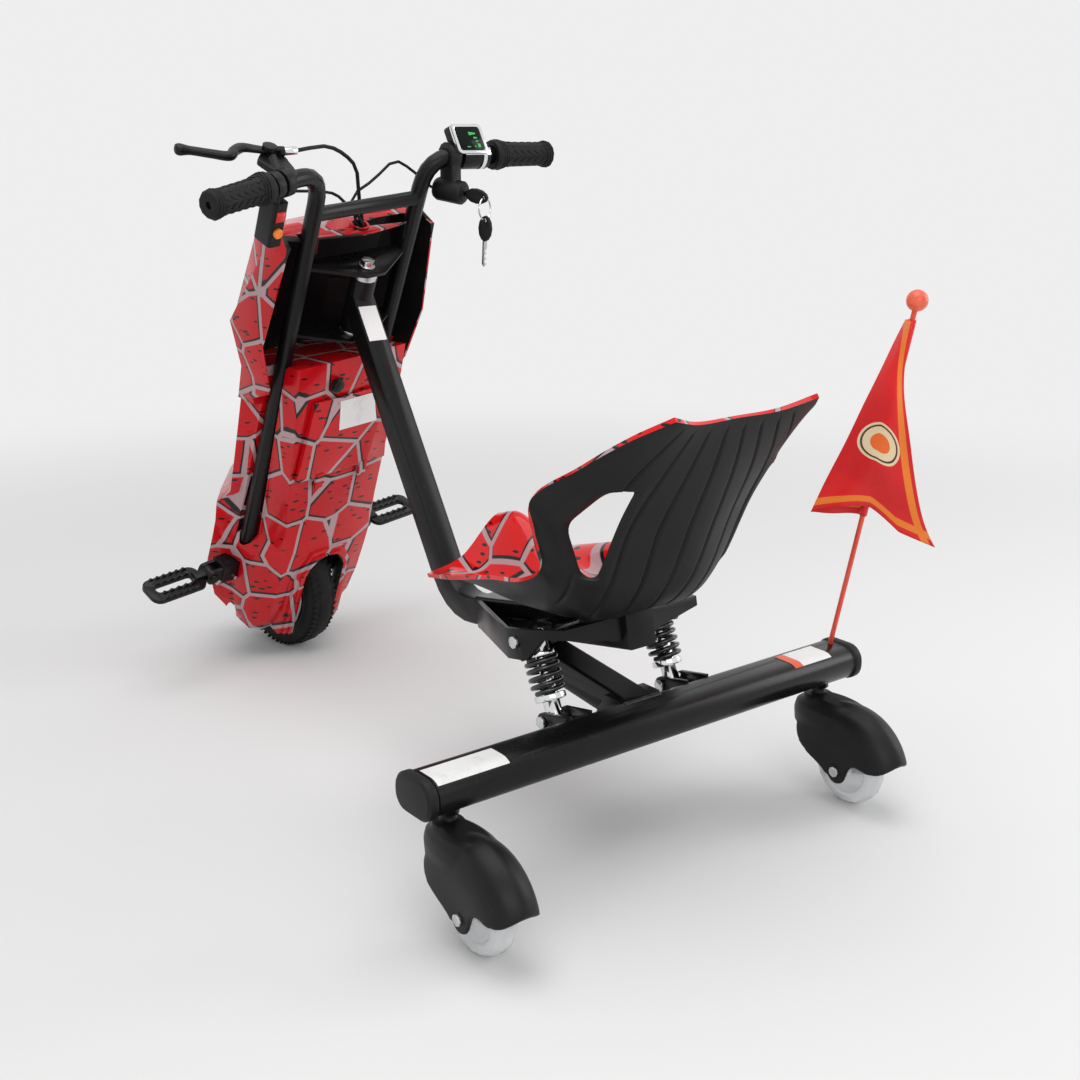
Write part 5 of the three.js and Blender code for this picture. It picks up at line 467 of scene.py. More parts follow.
for name in ("caster_wheel_left", "caster_wheel_right"):
    finished(name, name, "clear_wheel", clear, edge=0.001, sharp=40)


# Front tyre: a small solid rubber tyre on the hub motor, with slanted blocks across its crown
# in four rows, and dust on the rubber.
tread = drifting("tyre_rubber", (45, 4, 0.45, 0.75), (0.007, 0.007, 0.0075), (0.0155, 0.0150, 0.01475),
                 (0.62, 0.2), (700, 2, 0.0002, 0.6), Specular_IOR_Level=0.2)
finished("front_tyre", "front_wheel", "tyre_black", tread, sharp=50)
HUB = Vector((0.020295, -0.432579, 0.104824))
BLOCKS, BLOCK_SUNK = 66, 0.0011
tyre_low, tyre_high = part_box("front_tyre")
TYRE_R = (tyre_high.z - tyre_low.z) / 2
for row, (across, drop, slant) in enumerate(((-0.0165, 0.0028, 0.6), (-0.0055, 0.0008, -0.6),
                                             (0.0055, 0.0008, 0.6), (0.0165, 0.0028, -0.6))):
    middle = HUB + LEFT_STEM * across
    ring = [middle + (BACK_STEM * math.cos(a) + UP_STEM * math.sin(a)) * (TYRE_R - drop - BLOCK_SUNK)
            for a in round_steps(144) + [2 * math.pi]]
    along_line(f"tread_row_{row + 1}", "front_wheel", ring, tread,
               2 * math.pi * TYRE_R / BLOCKS, (0.0046, 0.0092, 0.0020), middle,
               turn=slant, uneven=0.0, block=True)


# Printed panels: the fairing, the battery door and the inside of the seat carry one film, red with
# angular facets drawn in dull silver over a black edge, and short black strokes between them.
def film(name, red, size, base=0.17):
    ink = Finish(name, Coat_Weight=0.15, Coat_Roughness=0.05, Specular_IOR_Level=0.25)
    scale = 1 / size
    facet = ink.cells(scale, "DISTANCE_TO_EDGE", random=0.85)
    under = ink.cells(scale, "DISTANCE_TO_EDGE", ink.moved(by=(0.0016, 0.0016, -0.0024)), 0.85)
    line = ink.between(facet, 0.0022 * scale, 0.0030 * scale, 1, 0)
    edge = ink.between(under, 0.0030 * scale, 0.0038 * scale, 1, 0)
    far = ink.cells(40, "F1", ink.moved(scale=(1, 1, 3.2), turn=(0.12, 0.16, 0)), 0.9)
    stroke = ink.between(far, 0.20, 0.23, 1, 0)
    # Painted shade: this mask mixes darker copies of the red and of the silver over the film in broad random
    # patches; the darker silver is the silver as it looks in shade.
    shade = ink.between(ink.noise(6, 3), 0.3, 0.75)
    ground = ink.blend(shade, red, tuple(c * 0.82 for c in red))
    inked = ink.blend(edge | stroke, ground, (0.012, 0.009, 0.010))
    silver = ink.blend(shade, (0.50, 0.33, 0.35), (0.42, 0.29, 0.31))
    handled = ink.between(ink.noise(30, 4), 0.4, 0.8)
    return ink.give(ink.blend(line, inked, silver), base + handled * 0.12,
                           ink.noise(260, 2), 0.00008, 0.35)


fairing_film = film("fairing_film", (0.60, 0.0045, 0.0095), 0.062)
bare_plastic = moulded("bare_black_plastic", 900, 0.36)
fairing_tree = rays_on(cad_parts["fairing"].data)
WING_FOOT = -160  # where the wings run out on the lower body, along the stem
BAY_DEEP = 0.05  # a wall that faces another one further off than this is an inner one


def inside_fairing(face):
    """1 for the bare inner walls, 0 for the printed outside."""
    centre, out = face.center, face.normal
    away = (centre - STEM) * 1000
    x, q, s = away.dot(LEFT_STEM), away.dot(BACK_STEM), away.dot(UP_STEM)
    if s > WING_FOOT:
        inward = -math.copysign(1, x) * out.dot(LEFT_STEM)
        return int(out.dot(BACK_STEM) > 0.35 and q < -15 or abs(x) > 60 and inward > 0.3)
    hit = fairing_tree.ray_cast(centre + out * 0.0006, out)
    return int(hit[0] is not None and BAY_DEEP < hit[3])


finished("fairing", "steering", "fairing_red", fairing_film, bare_plastic, edge=0.0012, sharp=30,
         pick=inside_fairing)
finished("battery_cover", "battery_cover", "fairing_red", fairing_film, edge=0.0008, sharp=30)
wrap = drifting("blue_battery_wrap", (40, 3, 0.35, 0.7), (0.016, 0.09, 0.38), (0.012, 0.06, 0.28),
                (0.3, 0.15), (120, 3, 0.0004, 0.4), Coat_Weight=0.4)
finished("battery_pack", "steering", "battery_blue", wrap, edge=0.002)


# Seat: a 4.5 mm moulded bucket. Its back and underside are grained black with eight sunk flutes,
# each side has a window with a raised rim, and the printed film lines the inside and the rim.
SEAT_HALF, SEAT_FRONT, SEAT_LONG, SEAT_LOW, SEAT_TALL, SEAT_THICK = 150, -300, 440, 255, 270, 4.5
seat_shares = (
    ((0, 0.05, 0.27), (0.33, 0.02, 0.085), (0.61, 0, 0.03)),
    ((0, 0.13, 0.30), (0.36, 0.12, 0.06), (0.71, 0.165, 0.10)),
    ((0, 0.29, 0.17), (0.4, 0.28, 0.04), (0.77, 0.36, 0.19)),
    ((0, 0.45, 0.088), (0.44, 0.45, 0.055), (0.84, 0.53, 0.26)),
    ((0, 0.59, 0.097), (0.48, 0.575, 0.088), (0.91, 0.63, 0.36)),
    ((0, 0.68, 0.125), (0.5, 0.65, 0.13), (0.98, 0.635, 0.50)),
    ((0, 0.76, 0.25), (0.51, 0.715, 0.27), (1.0, 0.63, 0.62)),
    ((0, 0.84, 0.53), (0.52, 0.79, 0.535), (0.93, 0.78, 0.79)),
    ((0, 0.9, 0.76), (0.47, 0.885, 0.775), (0.81, 0.9, 0.92)),
    ((0, 0.936, 0.95), (0.37, 0.945, 0.955), (0.645, 0.973, 0.995)),
)
window_shares = ((0.80, 0.695), (0.9, 0.70), (0.88, 0.42), (0.76, 0.31), (0.676, 0.30), (0.682, 0.53))
window_corners = [Vector((SEAT_FRONT + y * SEAT_LONG, SEAT_LOW + z * SEAT_TALL)) for y, z in window_shares]
ROWS, COLUMNS, WINDOW_X, WINDOW_OUT = 96, 241, 88, 225
FLUTES, FLUTE_DEEP, FLUTE_WIDE = (-0.7, -0.5, -0.3, -0.1, 0.1, 0.3, 0.5, 0.7), 2.3, 1.7
RIM_PROUD, RIM_OFF, RIM_WIDE, BACK_MORE = 2.2, 3, 6, 0.4


def held(share):
    return min(max(share, 0), 1)


def through(points, share):
    """A point at a share of a smooth curve that runs through the points."""
    at = (len(points) - 1) * share
    i = min(int(at), len(points) - 2)
    w = at - i
    p1, p2 = points[i], points[i + 1]
    p0 = points[i - 1] if i else p1 * 2 - p2
    p3 = points[i + 2] if i + 2 < len(points) else p2 * 2 - p1
    d0, d1, d2 = (max((b - a).length, 1e-9) ** 0.5 for a, b in ((p0, p1), (p1, p2), (p2, p3)))
    t1 = ((p1 - p0) / d0 - (p2 - p0) / (d0 + d1) + (p2 - p1) / d1) * d1
    t2 = ((p2 - p1) / d1 - (p3 - p1) / (d1 + d2) + (p3 - p2) / d2) * d1
    return p1 + t1 * w + (p2 * 3 - p1 * 3 - t1 * 2 - t2) * w ** 2 + (p1 * 2 - p2 * 2 + t1 + t2) * w ** 3


def to_window(y, z):
    """How far a point lies outside the window, in mm; inside it the distance is negative."""
    best, inside = 1e9, False
    for (y1, z1), (y2, z2) in zip(window_corners, window_corners[1:] + window_corners[:1]):
        share = held(((y - y1) * (y2 - y1) + (z - z1) * (z2 - z1)) / ((y2 - y1) ** 2 + (z2 - z1) ** 2))
        best = min(best, math.hypot(y - y1 - share * (y2 - y1), z - z1 - share * (z2 - z1)))
        if (z1 > z) != (z2 > z) and y < (y2 - y1) * (z - z1) / (z2 - z1) + y1:
            inside = not inside
    return -best if inside else best


def back_depth(point, u, v):
    """How deep the bucket's back lies under the middle of its wall, with its flutes and rims."""
    near = min(abs(u - f) for f in FLUTES) * SEAT_HALF
    fade = held((v - 0.42) / 0.08) * held((0.985 - v) / 0.02)
    depth = SEAT_THICK / 2 + BACK_MORE - FLUTE_DEEP * math.exp(-(near / FLUTE_WIDE) ** 2) * fade
    if abs(u) > 0.4:
        rim = math.hypot(max(to_window(point.y, point.z), 0), max(WINDOW_X - abs(point.x), 0))
        depth += RIM_PROUD * math.exp(-((rim - RIM_OFF) / RIM_WIDE) ** 2)
    return depth


def layer(work, grid, lift_at):
    """Vertices over a grid of points, each lifted along the way the grid faces there."""
    made = []
    for j, row in enumerate(grid):
        made.append([])
        for i, point in enumerate(row):
            along = row[min(i + 1, len(row) - 1)] - row[max(i - 1, 0)]
            down = grid[min(j + 1, len(grid) - 1)][i] - grid[max(j - 1, 0)][i]
            lift = lift_at(point, 2 * i / (len(row) - 1) - 1, j / (len(grid) - 1))
            made[-1].append(work.verts.new(by_frame(*(point + along.cross(down).normalized() * lift))))
    return made


def sheeted(work, front, back):
    """One closed sheet between two layers of vertices; gives back the facets of the second."""
    backs = []
    for j in range(len(front) - 1):
        for i in range(len(front[0]) - 1):
            corners = ((j, i), (j, i + 1), (j + 1, i + 1), (j + 1, i))
            work.faces.new([front[r][c] for r, c in corners])
            backs.append(work.faces.new([back[r][c] for r, c in reversed(corners)]))
    skinned(work, [side[0][:-1] + [row[-1] for row in side[:-1]] + side[-1][:0:-1]
                   + [row[0] for row in side[:0:-1]] for side in (front, back)], capped=False)
    return backs


def slab(outline, x_from, x_to, bevel=0.0):
    """A solid of one outline in the frame's y and z between two x, its first end's rim rounded."""
    work = bmesh.new()
    ends = [[work.verts.new(by_frame(x, y, z)) for y, z in outline] for x in (x_from, x_to)]
    skinned(work, ends)
    if bevel:
        bmesh.ops.recalc_face_normals(work, faces=work.faces)
        rim = [e for e in work.edges if all(v in ends[0] for v in e.verts)]
        bmesh.ops.bevel(work, geom=rim, offset=bevel, offset_type="OFFSET", segments=4, profile=0.5,
                        affect="EDGES")
    return built("slab", work)


def shaped(piece, operation, tool):
    """The piece after a cut, a common part or a union with a tool, which is used up."""
    step = piece.modifiers.new("shaping", "BOOLEAN")
    step.operation, step.solver, step.object = operation, "EXACT", tool
    settled(piece)
    bpy.data.objects.remove(tool)
    return piece


lines = [[Vector((x * SEAT_HALF, SEAT_FRONT + y * SEAT_LONG, SEAT_LOW + z * SEAT_TALL))
          for x, y, z in (row[k] for row in seat_shares)] for k in range(3)]
grid = []
for j in range(ROWS):
    middle, channel, edge = (through(line, j / (ROWS - 1)) for line in lines)
    flip = lambda p: Vector((-p.x, p.y, p.z))
    across = [flip(edge), flip(channel), middle, channel, edge]
    grid.append([through(across, i / (COLUMNS - 1)) for i in range(COLUMNS)])
work = bmesh.new()
inner = layer(work, grid, lambda point, u, v: SEAT_THICK / 2)
outer = layer(work, grid, lambda point, u, v: -back_depth(point, u, v))
backs = sheeted(work, inner, outer)
for face in work.faces:
    face.material_index = 1
for face in backs:
    face.material_index = 0
seat_plastic = moulded("grained_seat_plastic", 1100, 0.46)
seat_film = film("seat_film", (0.74, 0.0060, 0.0080), 0.085, 0.13)
seat = built("seat_bucket", work, seat_plastic, seat_film, smooth=4)
rounded = []
for k, corner in enumerate(window_corners):
    sides = [end - corner for end in (window_corners[k - 1], window_corners[(k + 1) % len(window_corners)])]
    reach = min(14, *(side.length * 0.45 for side in sides))
    a, b = (corner + side.normalized() * reach for side in sides)
    rounded += [a * (1 - w) ** 2 + corner * 2 * w * (1 - w) + b * w ** 2 for w in (0, 0.2, 0.4, 0.6, 0.8, 1)]
for x_side in (-1, 1):
    shaped(seat, "DIFFERENCE", slab(rounded, x_side * WINDOW_X, x_side * WINDOW_OUT, 0.006))
seat.data.set_sharp_from_angle(angle=math.radians(42))
set_on(seat, "frame", "seat_shell")

PITCH = math.radians(11.2)  # the sleeve and rails climb to the rear, from here
SLEEVE_Y, SLEEVE_Z = -303, 199.5
SLEEVE_HIGH, RAIL_HIGH, INTO_WALL, LEAST_HIGH = 20.8, 17.3, 1.6, 20
FRONT_FOOT_Y, REAR_FOOT_X, REAR_FOOT_Y, REAR_FOOT_R = -205.3, 48, -49.4, 12
seat_tree = rays_on(seat.data)


def seat_boss(name, x_mid, y_mid, outline, high, flare):
    """A moulded foot from the frame's upper face up into the bucket's wall."""
    work = bmesh.new()
    rings = []
    for share, wide in ((0, 1), (0.75, 1), (1, flare)):
        ring = []
        for x, y in outline:
            x, y = x_mid + x * wide, y_mid + y * wide
            low = SLEEVE_Z + (y - SLEEVE_Y) * math.tan(PITCH) + high / math.cos(PITCH)
            hit = seat_tree.ray_cast(by_frame(x, y, low), UP)[0]
            top = (hit.z - FRAME_Z) * 1000 + INTO_WALL if hit else low + LEAST_HIGH
            ring.append(work.verts.new(by_frame(x, y, low + (top - low) * share)))
        rings.append(ring)
    skinned(work, rings)
    set_on(built(name, work, seat_plastic, smooth=len(outline), sharp=35), "frame")


def round_box(wide, deep, corner, steps):
    """Points round a rectangle with round corners, from its middle."""
    return [(x * (wide / 2 - corner) + corner * math.cos(a), y * (deep / 2 - corner) + corner * math.sin(a))
            for x, y, start in ((1, 1, 0), (-1, 1, 90), (-1, -1, 180), (1, -1, 270))
            for a in (math.radians(start + 90 * k / steps) for k in range(steps + 1))]


seat_boss("seat_foot_front", 0, FRONT_FOOT_Y, round_box(24, 28.8, 2.5, 4), SLEEVE_HIGH, 1.15)
round_foot = [(REAR_FOOT_R * math.cos(a), REAR_FOOT_R * math.sin(a)) for a in round_steps(28)]
for side, x in (("left", REAR_FOOT_X), ("right", -REAR_FOOT_X)):
    seat_boss("seat_foot_" + side, x, REAR_FOOT_Y, round_foot, RAIL_HIGH, 1.12)


# Caster hoods: a helmet of one wall round the wheel, cut to a flowing outline with a lug at the
# axle, under a long shoulder and the swivel post. The moulding's corners all run together.
HOOD_X, AXLE_Y, AXLE_Z, LUG_R, NECK_Z = 270, 57, 45, 14, 120.5
HOOD_R, HOOD_HALF, HOLLOW_R, HOLLOW_HALF, NECK_R, POST_R = 76.6, 29, 71, 24, 0.0168, 0.0076
STRETCH, SHOULDER_BACK = 1.2, 0.0302
hood_curve = [Vector(p) for p in ((0.93, 0), (0.97, 0.6), (0.78, 0.86), (0.22, 1), (-0.22, 1), (-0.78, 0.86),
                                  (-0.97, 0.6), (-0.93, 0))]
front_curve = [Vector(p) for p in ((-18, 118), (-19, 104), (-15, 82), (-3, 63), (16, 51), (33, 42), (41, 36))]
skirt_curve = [Vector(p) for p in ((71, 41), (77, 54), (86, 59), (100, 57), (118, 60), (129, 70), (136, 90),
                                   (151, 190))]
axle_line = by_frame(0, AXLE_Y, 0).y


def turned(name, foot, way, profile, sides, *materials):
    """A lathe-turned solid: the profile lists distance along the way and radius."""
    work = bmesh.new()
    across = way.orthogonal().normalized()
    other = way.cross(across)
    skinned(work, [[work.verts.new(foot + way * along + (across * math.cos(a) + other * math.sin(a)) * radius)
                    for a in round_steps(sides)] for along, radius in profile])
    return built(name, work, *materials, smooth=4, sharp=40)


def flowed(piece, grain, rounds, material):
    """The piece remade from even facets, with its corners run together as in a moulding."""
    even = piece.modifiers.new("even", "REMESH")
    even.mode, even.voxel_size = "VOXEL", grain
    flow = piece.modifiers.new("flow", "SMOOTH")
    flow.factor, flow.iterations = 0.5, rounds
    settled(piece)
    for face in piece.data.polygons:
        face.use_smooth = True
    piece.data.materials.clear()
    piece.data.materials.append(material)
    return piece


def helmet(x, radius, half):
    profile = [through(hood_curve, k / 40) for k in range(41)]
    piece = turned("helmet", by_frame(x, AXLE_Y, AXLE_Z), -SIDEWAYS,
                   [(p.x * half / 1000, max(p.y, 0.01) * radius / 1000) for p in profile], 96)
    for v in piece.data.vertices:  # the front half is longer
        v.co.y = min(v.co.y, axle_line + (v.co.y - axle_line) * STRETCH)
    return piece


lug = [(AXLE_Y + LUG_R * math.cos(a), AXLE_Z - 2 + LUG_R * math.sin(a))
       for a in (math.pi * (1.15 + 0.75 * k / 16) for k in range(17))]
front_edge, skirt_edge = ([tuple(through(curve, k / 24)) for k in range(25)]
                          for curve in (front_curve, skirt_curve))
side_outline = front_edge + lug + skirt_edge + [(-18, 190)]
for side, x in (("left", HOOD_X), ("right", -HOOD_X)):
    hood = shaped(helmet(x, HOOD_R, HOOD_HALF), "INTERSECT", slab(side_outline, x - 40, x + 40))
    shoulder = turned("shoulder", by_frame(x, 0, NECK_Z - 40), UP, [
        (0, 0.0275), (0.0168, 0.0283), (0.0273, 0.0268), (0.0350, 0.0222), (0.0399, 0.0166)], 64)
    for v in shoulder.data.vertices:
        v.co.y += (v.co.y - FRAME_Y) * STRETCH + SHOULDER_BACK
    neck = turned("neck", by_frame(x, 0, NECK_Z - 21), UP, [(0, NECK_R), (0.021, NECK_R)], 64)
    post = turned("post", by_frame(x, 0, NECK_Z - 1), UP,
                  [(0, 0.0125), (0.003, POST_R), (0.0465, POST_R)], 48)
    for operation, tool in (("UNION", shoulder), ("UNION", neck),
                            ("DIFFERENCE", helmet(x, HOLLOW_R, HOLLOW_HALF)), ("UNION", post)):
        shaped(hood, operation, tool)
    flowed(hood, 0.0014, 12, black_plastic).name = "caster_hood_" + side
    set_on(hood, "caster_" + side, "caster_fork_" + side)


# Foot pegs' hinges: a flat pin head and a smaller bolt stand on the rear face of each hinge,
# both of zinc-plated steel with a turned edge.
for side, x_side in (("left", 1), ("right", -1)):
    for name, x, s, size in (("disc", 135.5, -455, 0.0045), ("bolt", 105.2, -457, 0.003)):
        profile = [(0, size * 0.9), (0.0002, size), (0.0029, size), (0.0034, size * 0.8)]
        head = turned(f"peg_{name}_{side}", by_stem(x * x_side, -13.5, s) - BACK_STEM * 0.0004, BACK_STEM,
                      profile, 28, zinc)
        set_on(head, "steering")


# Brake: a cast lever with a dog-leg and a ball end, painted satin black, on the pin of a wedge-shaped
# moulded perch that is clamped to the bar.
LEVER_X, LEVER_Q, LEVER_S, LEVER_LONG = 150, -52, 208, 112
LEVER_STEPS, LEVER_SIDES, END_STEPS, SQUARENESS = 72, 24, 3, 0.75
lever_line = [Vector((LEVER_X + x * LEVER_LONG, LEVER_Q + q * LEVER_LONG)) for x, q in (
    (-0.07, 0.02), (0.1, -0.07), (0.25, -0.14), (0.38, -0.09), (0.5, -0.01), (0.66, -0.09), (0.84, -0.2),
    (0.95, -0.25), (1, -0.265))]
lever_half = [Vector(p) for p in ((5, 3.4), (7, 3.5), (7, 4.6), (6.4, 5.2), (6.2, 5.2), (5.6, 4.8),
                                  (5.4, 4.7), (7.2, 6.4), (5.2, 4.8))]
work = bmesh.new()
rings = []
for k in range(LEVER_STEPS + 1):
    share = k / LEVER_STEPS
    place, half = through(lever_line, share), through(lever_half, share)
    way = through(lever_line, min(share + 0.01, 1)) - through(lever_line, max(share - 0.01, 0))
    aside = Vector((-way.y, way.x)).normalized()
    from_end = min(k, LEVER_STEPS - k, END_STEPS) / END_STEPS
    half = half * math.sqrt(max(1 - (1 - from_end) ** 2, 0.1))
    ring = []
    for a in round_steps(LEVER_SIDES):
        c, s = (math.copysign(abs(f) ** SQUARENESS, f) for f in (math.cos(a), math.sin(a)))
        ring.append(work.verts.new(by_stem(*(place + aside * half.x * c), LEVER_S + half.y * s)))
    rings.append(ring)
skinned(work, rings)
set_on(built("brake_lever_cast", work, steel_coat, smooth=LEVER_SIDES), "brake_lever",
       "brake_lever")
work = bmesh.new()
for x, q, low, high, radius in ((LEVER_X, LEVER_Q, 196, 203.6, 9.5), (LEVER_X + 14, LEVER_Q + 8, 196, 203, 6),
                                (LEVER_X - 14, LEVER_Q + 8, 194, 203, 6), (LEVER_X, -14, 193, 202, 13)):
    for a in round_steps(20):
        for s in (low, high):
            work.verts.new(by_stem(x + radius * math.cos(a), q + radius * math.sin(a), s))
hull = bmesh.ops.convex_hull(work, input=work.verts)
bmesh.ops.delete(work, geom=list({v for v in hull["geom_interior"] + hull["geom_unused"]
                                  if isinstance(v, bmesh.types.BMVert)}), context="VERTS")
set_on(flowed(built("perch_wedge", work), 0.0009, 8, black_plastic), "steering")


# Flag: a thin red pennant sewn to a sleeve on a glass-fibre pole, wrapped half round it by the wind.
# A stitched orange band follows its free edges, and a plain round badge sits in the field.
POLE_FOOT, POLE_LEAN = (-291, -10, 147), math.radians(12.4)
CLOTH_TOP, CLOTH_DROP, FLY_OUT, FLY_BACK, FOLD, CORNER_DROP = 440, 236, 58, 84, 12, 34
CLOTH_ROWS, CLOTH_COLUMNS, CLOTH_THICK, HEM = 60, 100, 0.5, 0.012
SLEEVE_R, BALL_HIGH, BALL_R = 0.0047, 450, 0.01195
WIND = math.radians(52.3)
UP_POLE = Vector((0, math.sin(POLE_LEAN), math.cos(POLE_LEAN)))
out_way = Vector((math.sin(WIND), -math.cos(WIND), 0))
near_way = Vector((math.cos(WIND), math.sin(WIND), 0))


def cloth_point(u, down):
    """A point of the cloth at a share of its width from the pole and of its drop, in mm."""
    spread = 0.11 + 0.89 * down
    fly = FLY_BACK * (-0.22 + 1.22 * down ** 0.9)
    turn = math.pi * min(u / 0.5, 1)
    away = 0.5 - math.cos(turn) * 0.5 if u < 0.5 else 1 - (2 * u - 1) * (1 + fly / FLY_OUT)
    depth = -math.sin(turn * 0.5) if u < 0.5 else -1 + 3 * math.sin(min((u - 0.5) * 3, 1) * math.pi / 2)
    wave = 0.3 * math.sin(u * 9 + down * 3) * down * held((u - 0.5) / 0.1)
    ripple = 2.6 * math.sin(u * 21 + down * 8) * down + 1.8 * math.sin(down * 17 - u * 6) * u
    flutter = 5 * math.sin(down * 8.5 + 0.4) * max(0, (u - 0.7) / 0.3) * down
    lift = 15 * math.sin(held((u - 0.5) / 0.34) * math.pi) * down ** 4
    sag = CORNER_DROP * max(0, u - 0.72) / 0.28 * down - lift
    return (Vector(POLE_FOOT) + UP_POLE * (CLOTH_TOP - CLOTH_DROP * down)
            + out_way * (FLY_OUT * spread * away + flutter)
            + near_way * (FOLD * (depth + wave) * math.sqrt(spread) + ripple * min(u * 6, 1)) - UP * sag)


def on_pole(height):
    return by_frame(*(Vector(POLE_FOOT) + UP_POLE * height))


cloth_grid = [[cloth_point(i / (CLOTH_COLUMNS - 1), j / (CLOTH_ROWS - 1)) for i in range(CLOTH_COLUMNS)]
              for j in range(CLOTH_ROWS)]
satin = Finish("red_satin", Sheen_Weight=0.15, Specular_IOR_Level=0.35)
across, down, _ = satin.axes(satin.add("TexCoord", output="UV"))
widen = 0.11 + down * 0.89
fly_edge = (1 - across) * widen
band = (fly_edge > 0.022) & (fly_edge < 0.062) | ((down > 0.925) & (down < 0.965))
badge_x, badge_y = (across - 0.735) * widen * 0.23, (down - 0.60) * 0.236
badge_far = (badge_x * badge_x + badge_y * badge_y).root()
disc, core = badge_far < 0.024, badge_far < 0.011
ring = (badge_far > 0.0190) & (badge_far < 0.0212)
fade_patch = satin.between(satin.noise(14, 3), 0.3, 0.8)
red_cloth = satin.blend(fade_patch, (0.80, 0.010, 0.012), (0.62, 0.007, 0.010))
badged = satin.blend(disc, satin.blend(band, red_cloth, (0.90, 0.22, 0.020)), (0.80, 0.66, 0.42))
inked = satin.blend(ring, satin.blend(core, badged, (0.86, 0.15, 0.020)), (0.09, 0.030, 0.018))
threads = (across * 1800).wave() + (down * 2400).wave()
satin_cloth = satin.give(inked, 0.42 + fade_patch * 0.12, threads, 0.00004, 0.35)

work = bmesh.new()
sheeted(work, *(layer(work, cloth_grid, lambda point, u, v: side * CLOTH_THICK / 2) for side in (1, -1)))
pennant = set_on(built("pennant", work, satin_cloth, smooth=4), "rear_arm", "flag_cloth")
weave_map = pennant.data.uv_layers.new(name="cloth")
for loop in pennant.data.loops:
    j, i = divmod(loop.vertex_index % (CLOTH_ROWS * CLOTH_COLUMNS), CLOTH_COLUMNS)
    weave_map.data[loop.index].uv = (i / (CLOTH_COLUMNS - 1), j / (CLOTH_ROWS - 1))
foot_length = sum((b - a).length for a, b in zip(cloth_grid[-1], cloth_grid[-1][1:])) / 1000
sleeve_line = [on_pole(CLOTH_TOP - CLOTH_DROP * k / 24) for k in range(25)]
set_on(tube_along("flag_sleeve", sleeve_line, SLEEVE_R, satin_cloth, 20), "rear_arm")
glass_fibre = drifting("orange_glass_fibre", (300, 2, 0.4, 0.7), (0.80, 0.075, 0.030), (0.66, 0.055, 0.024),
                       (0.32, 0.1), (900, 1, 0.0001, 0.3), stretch=(1, 1, 0.05), Coat_Weight=0.3)
finished("flag_pole", "rear_arm", "pole_orange", glass_fibre)
ball_profile = [(0.012 - BALL_R * math.cos(a), max(BALL_R * math.sin(a), 0.0002))
                for a in (math.pi * k / 20 for k in range(21))]
ball_plastic = drifting("orange_ball_plastic", (90, 4, 0.35, 0.7), (0.86, 0.135, 0.060), (0.74, 0.095, 0.042),
                        (0.32, 0.12), (500, 2, 0.0001, 0.4), Coat_Weight=0.2)
set_on(turned("flag_ball_round", on_pole(BALL_HIGH), UP_POLE, ball_profile, 28, ball_plastic),
       "rear_arm", "flag_ball")


# Grips: soft black rubber sleeves with a flange, raised rings at both ends and leaf-shaped pads
# between them; the right one is the throttle and turns on the bar.
rubber = drifting("soft_black_rubber", (40, 3, 0.4, 0.75), (0.0058, 0.0058, 0.0060), (0.0110, 0.0108, 0.0105),
                  (0.55, 0.15), (1300, 1, 0.0001, 0.6), Specular_IOR_Level=0.22)
BAR_SLOPE = 0.193  # the bar's ends sweep back by this share
LEAVES, GRIP_R, GRIP_X, GRIP_Q, GRIP_S = 10, 0.0155, 231, 3.35, 190
for node, body, sign in (("grip_left", "steering", 1), ("throttle_grip", "throttle", -1)):
    finished(node, body, "rubber_black", rubber, edge=0.0006, sharp=40)
    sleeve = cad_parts[node].data
    tree = rays_on(sleeve)
    along_grip = (LEFT_STEM * sign + BACK_STEM * BAR_SLOPE).normalized()
    core = by_stem(sign * GRIP_X, GRIP_Q, GRIP_S)
    along = [(v.co - core).dot(along_grip) for v in sleeve.vertices]
    core = core + along_grip * (min(along) + max(along)) / 2
    half = (max(along) - min(along)) / 2

    def on_grip(share, a, lift=0.0):
        """A point on the sleeve: its share of the half length, its angle and how proud it stands."""
        out = BACK_STEM * math.cos(a) + UP_STEM * math.sin(a)
        axis_point = core + along_grip * (half * share)
        hit = tree.ray_cast(axis_point + out * 0.04, -out)[0]
        return (hit if hit else axis_point + out * GRIP_R) + out * lift

    for k, a in enumerate(round_steps(LEAVES)):
        along_line(f"{node}_leaf_{k + 1}", body,
                   [on_grip(t, a, 0.0001) for t in (-0.6, -0.3, 0, 0.3, 0.6)],
                   rubber, 0.0105, (0.0118, 0.0052, 0.0018), core, turn=0.45 * (-1) ** k, uneven=0.05)
    for number, t in enumerate((-0.84, -0.76, -0.68, 0.7, 0.78, 0.86)):
        hoop = [on_grip(t, a) for a in round_steps(48) + [2 * math.pi]]
        raised = tube_along(f"{node}_ring_{number + 1}", hoop, 0.0010, rubber, 8, closed=True)
        set_on(raised, body)


# Display, lock, keys, switches and leads on the bars: a case with a bright front round its dark
# glass, a bright clip behind it, keys with a moulded bow, and two coloured buttons.
SCREEN_TIP = math.radians(42)
bar_run = LEFT_STEM - BACK_STEM * BAR_SLOPE
down_screen = BACK_STEM * math.cos(SCREEN_TIP) - UP_STEM * math.sin(SCREEN_TIP)
out_screen = BACK_STEM * math.sin(SCREEN_TIP) + UP_STEM * math.cos(SCREEN_TIP)
screen_middle = by_stem(-142, -9.93, 215.3)


def by_screen(x, down, out):
    """A point of the display, in mm: to the left, down its face to the rider and out of the glass."""
    return screen_middle + (bar_run * x + down_screen * down + out_screen * out) / 1000


def on_rim(face):
    """1 for the display's front face round the glass, with its rounded edge."""
    return int((face.center - screen_middle).dot(out_screen) > -0.0009 and face.normal.dot(out_screen) > 0.2)


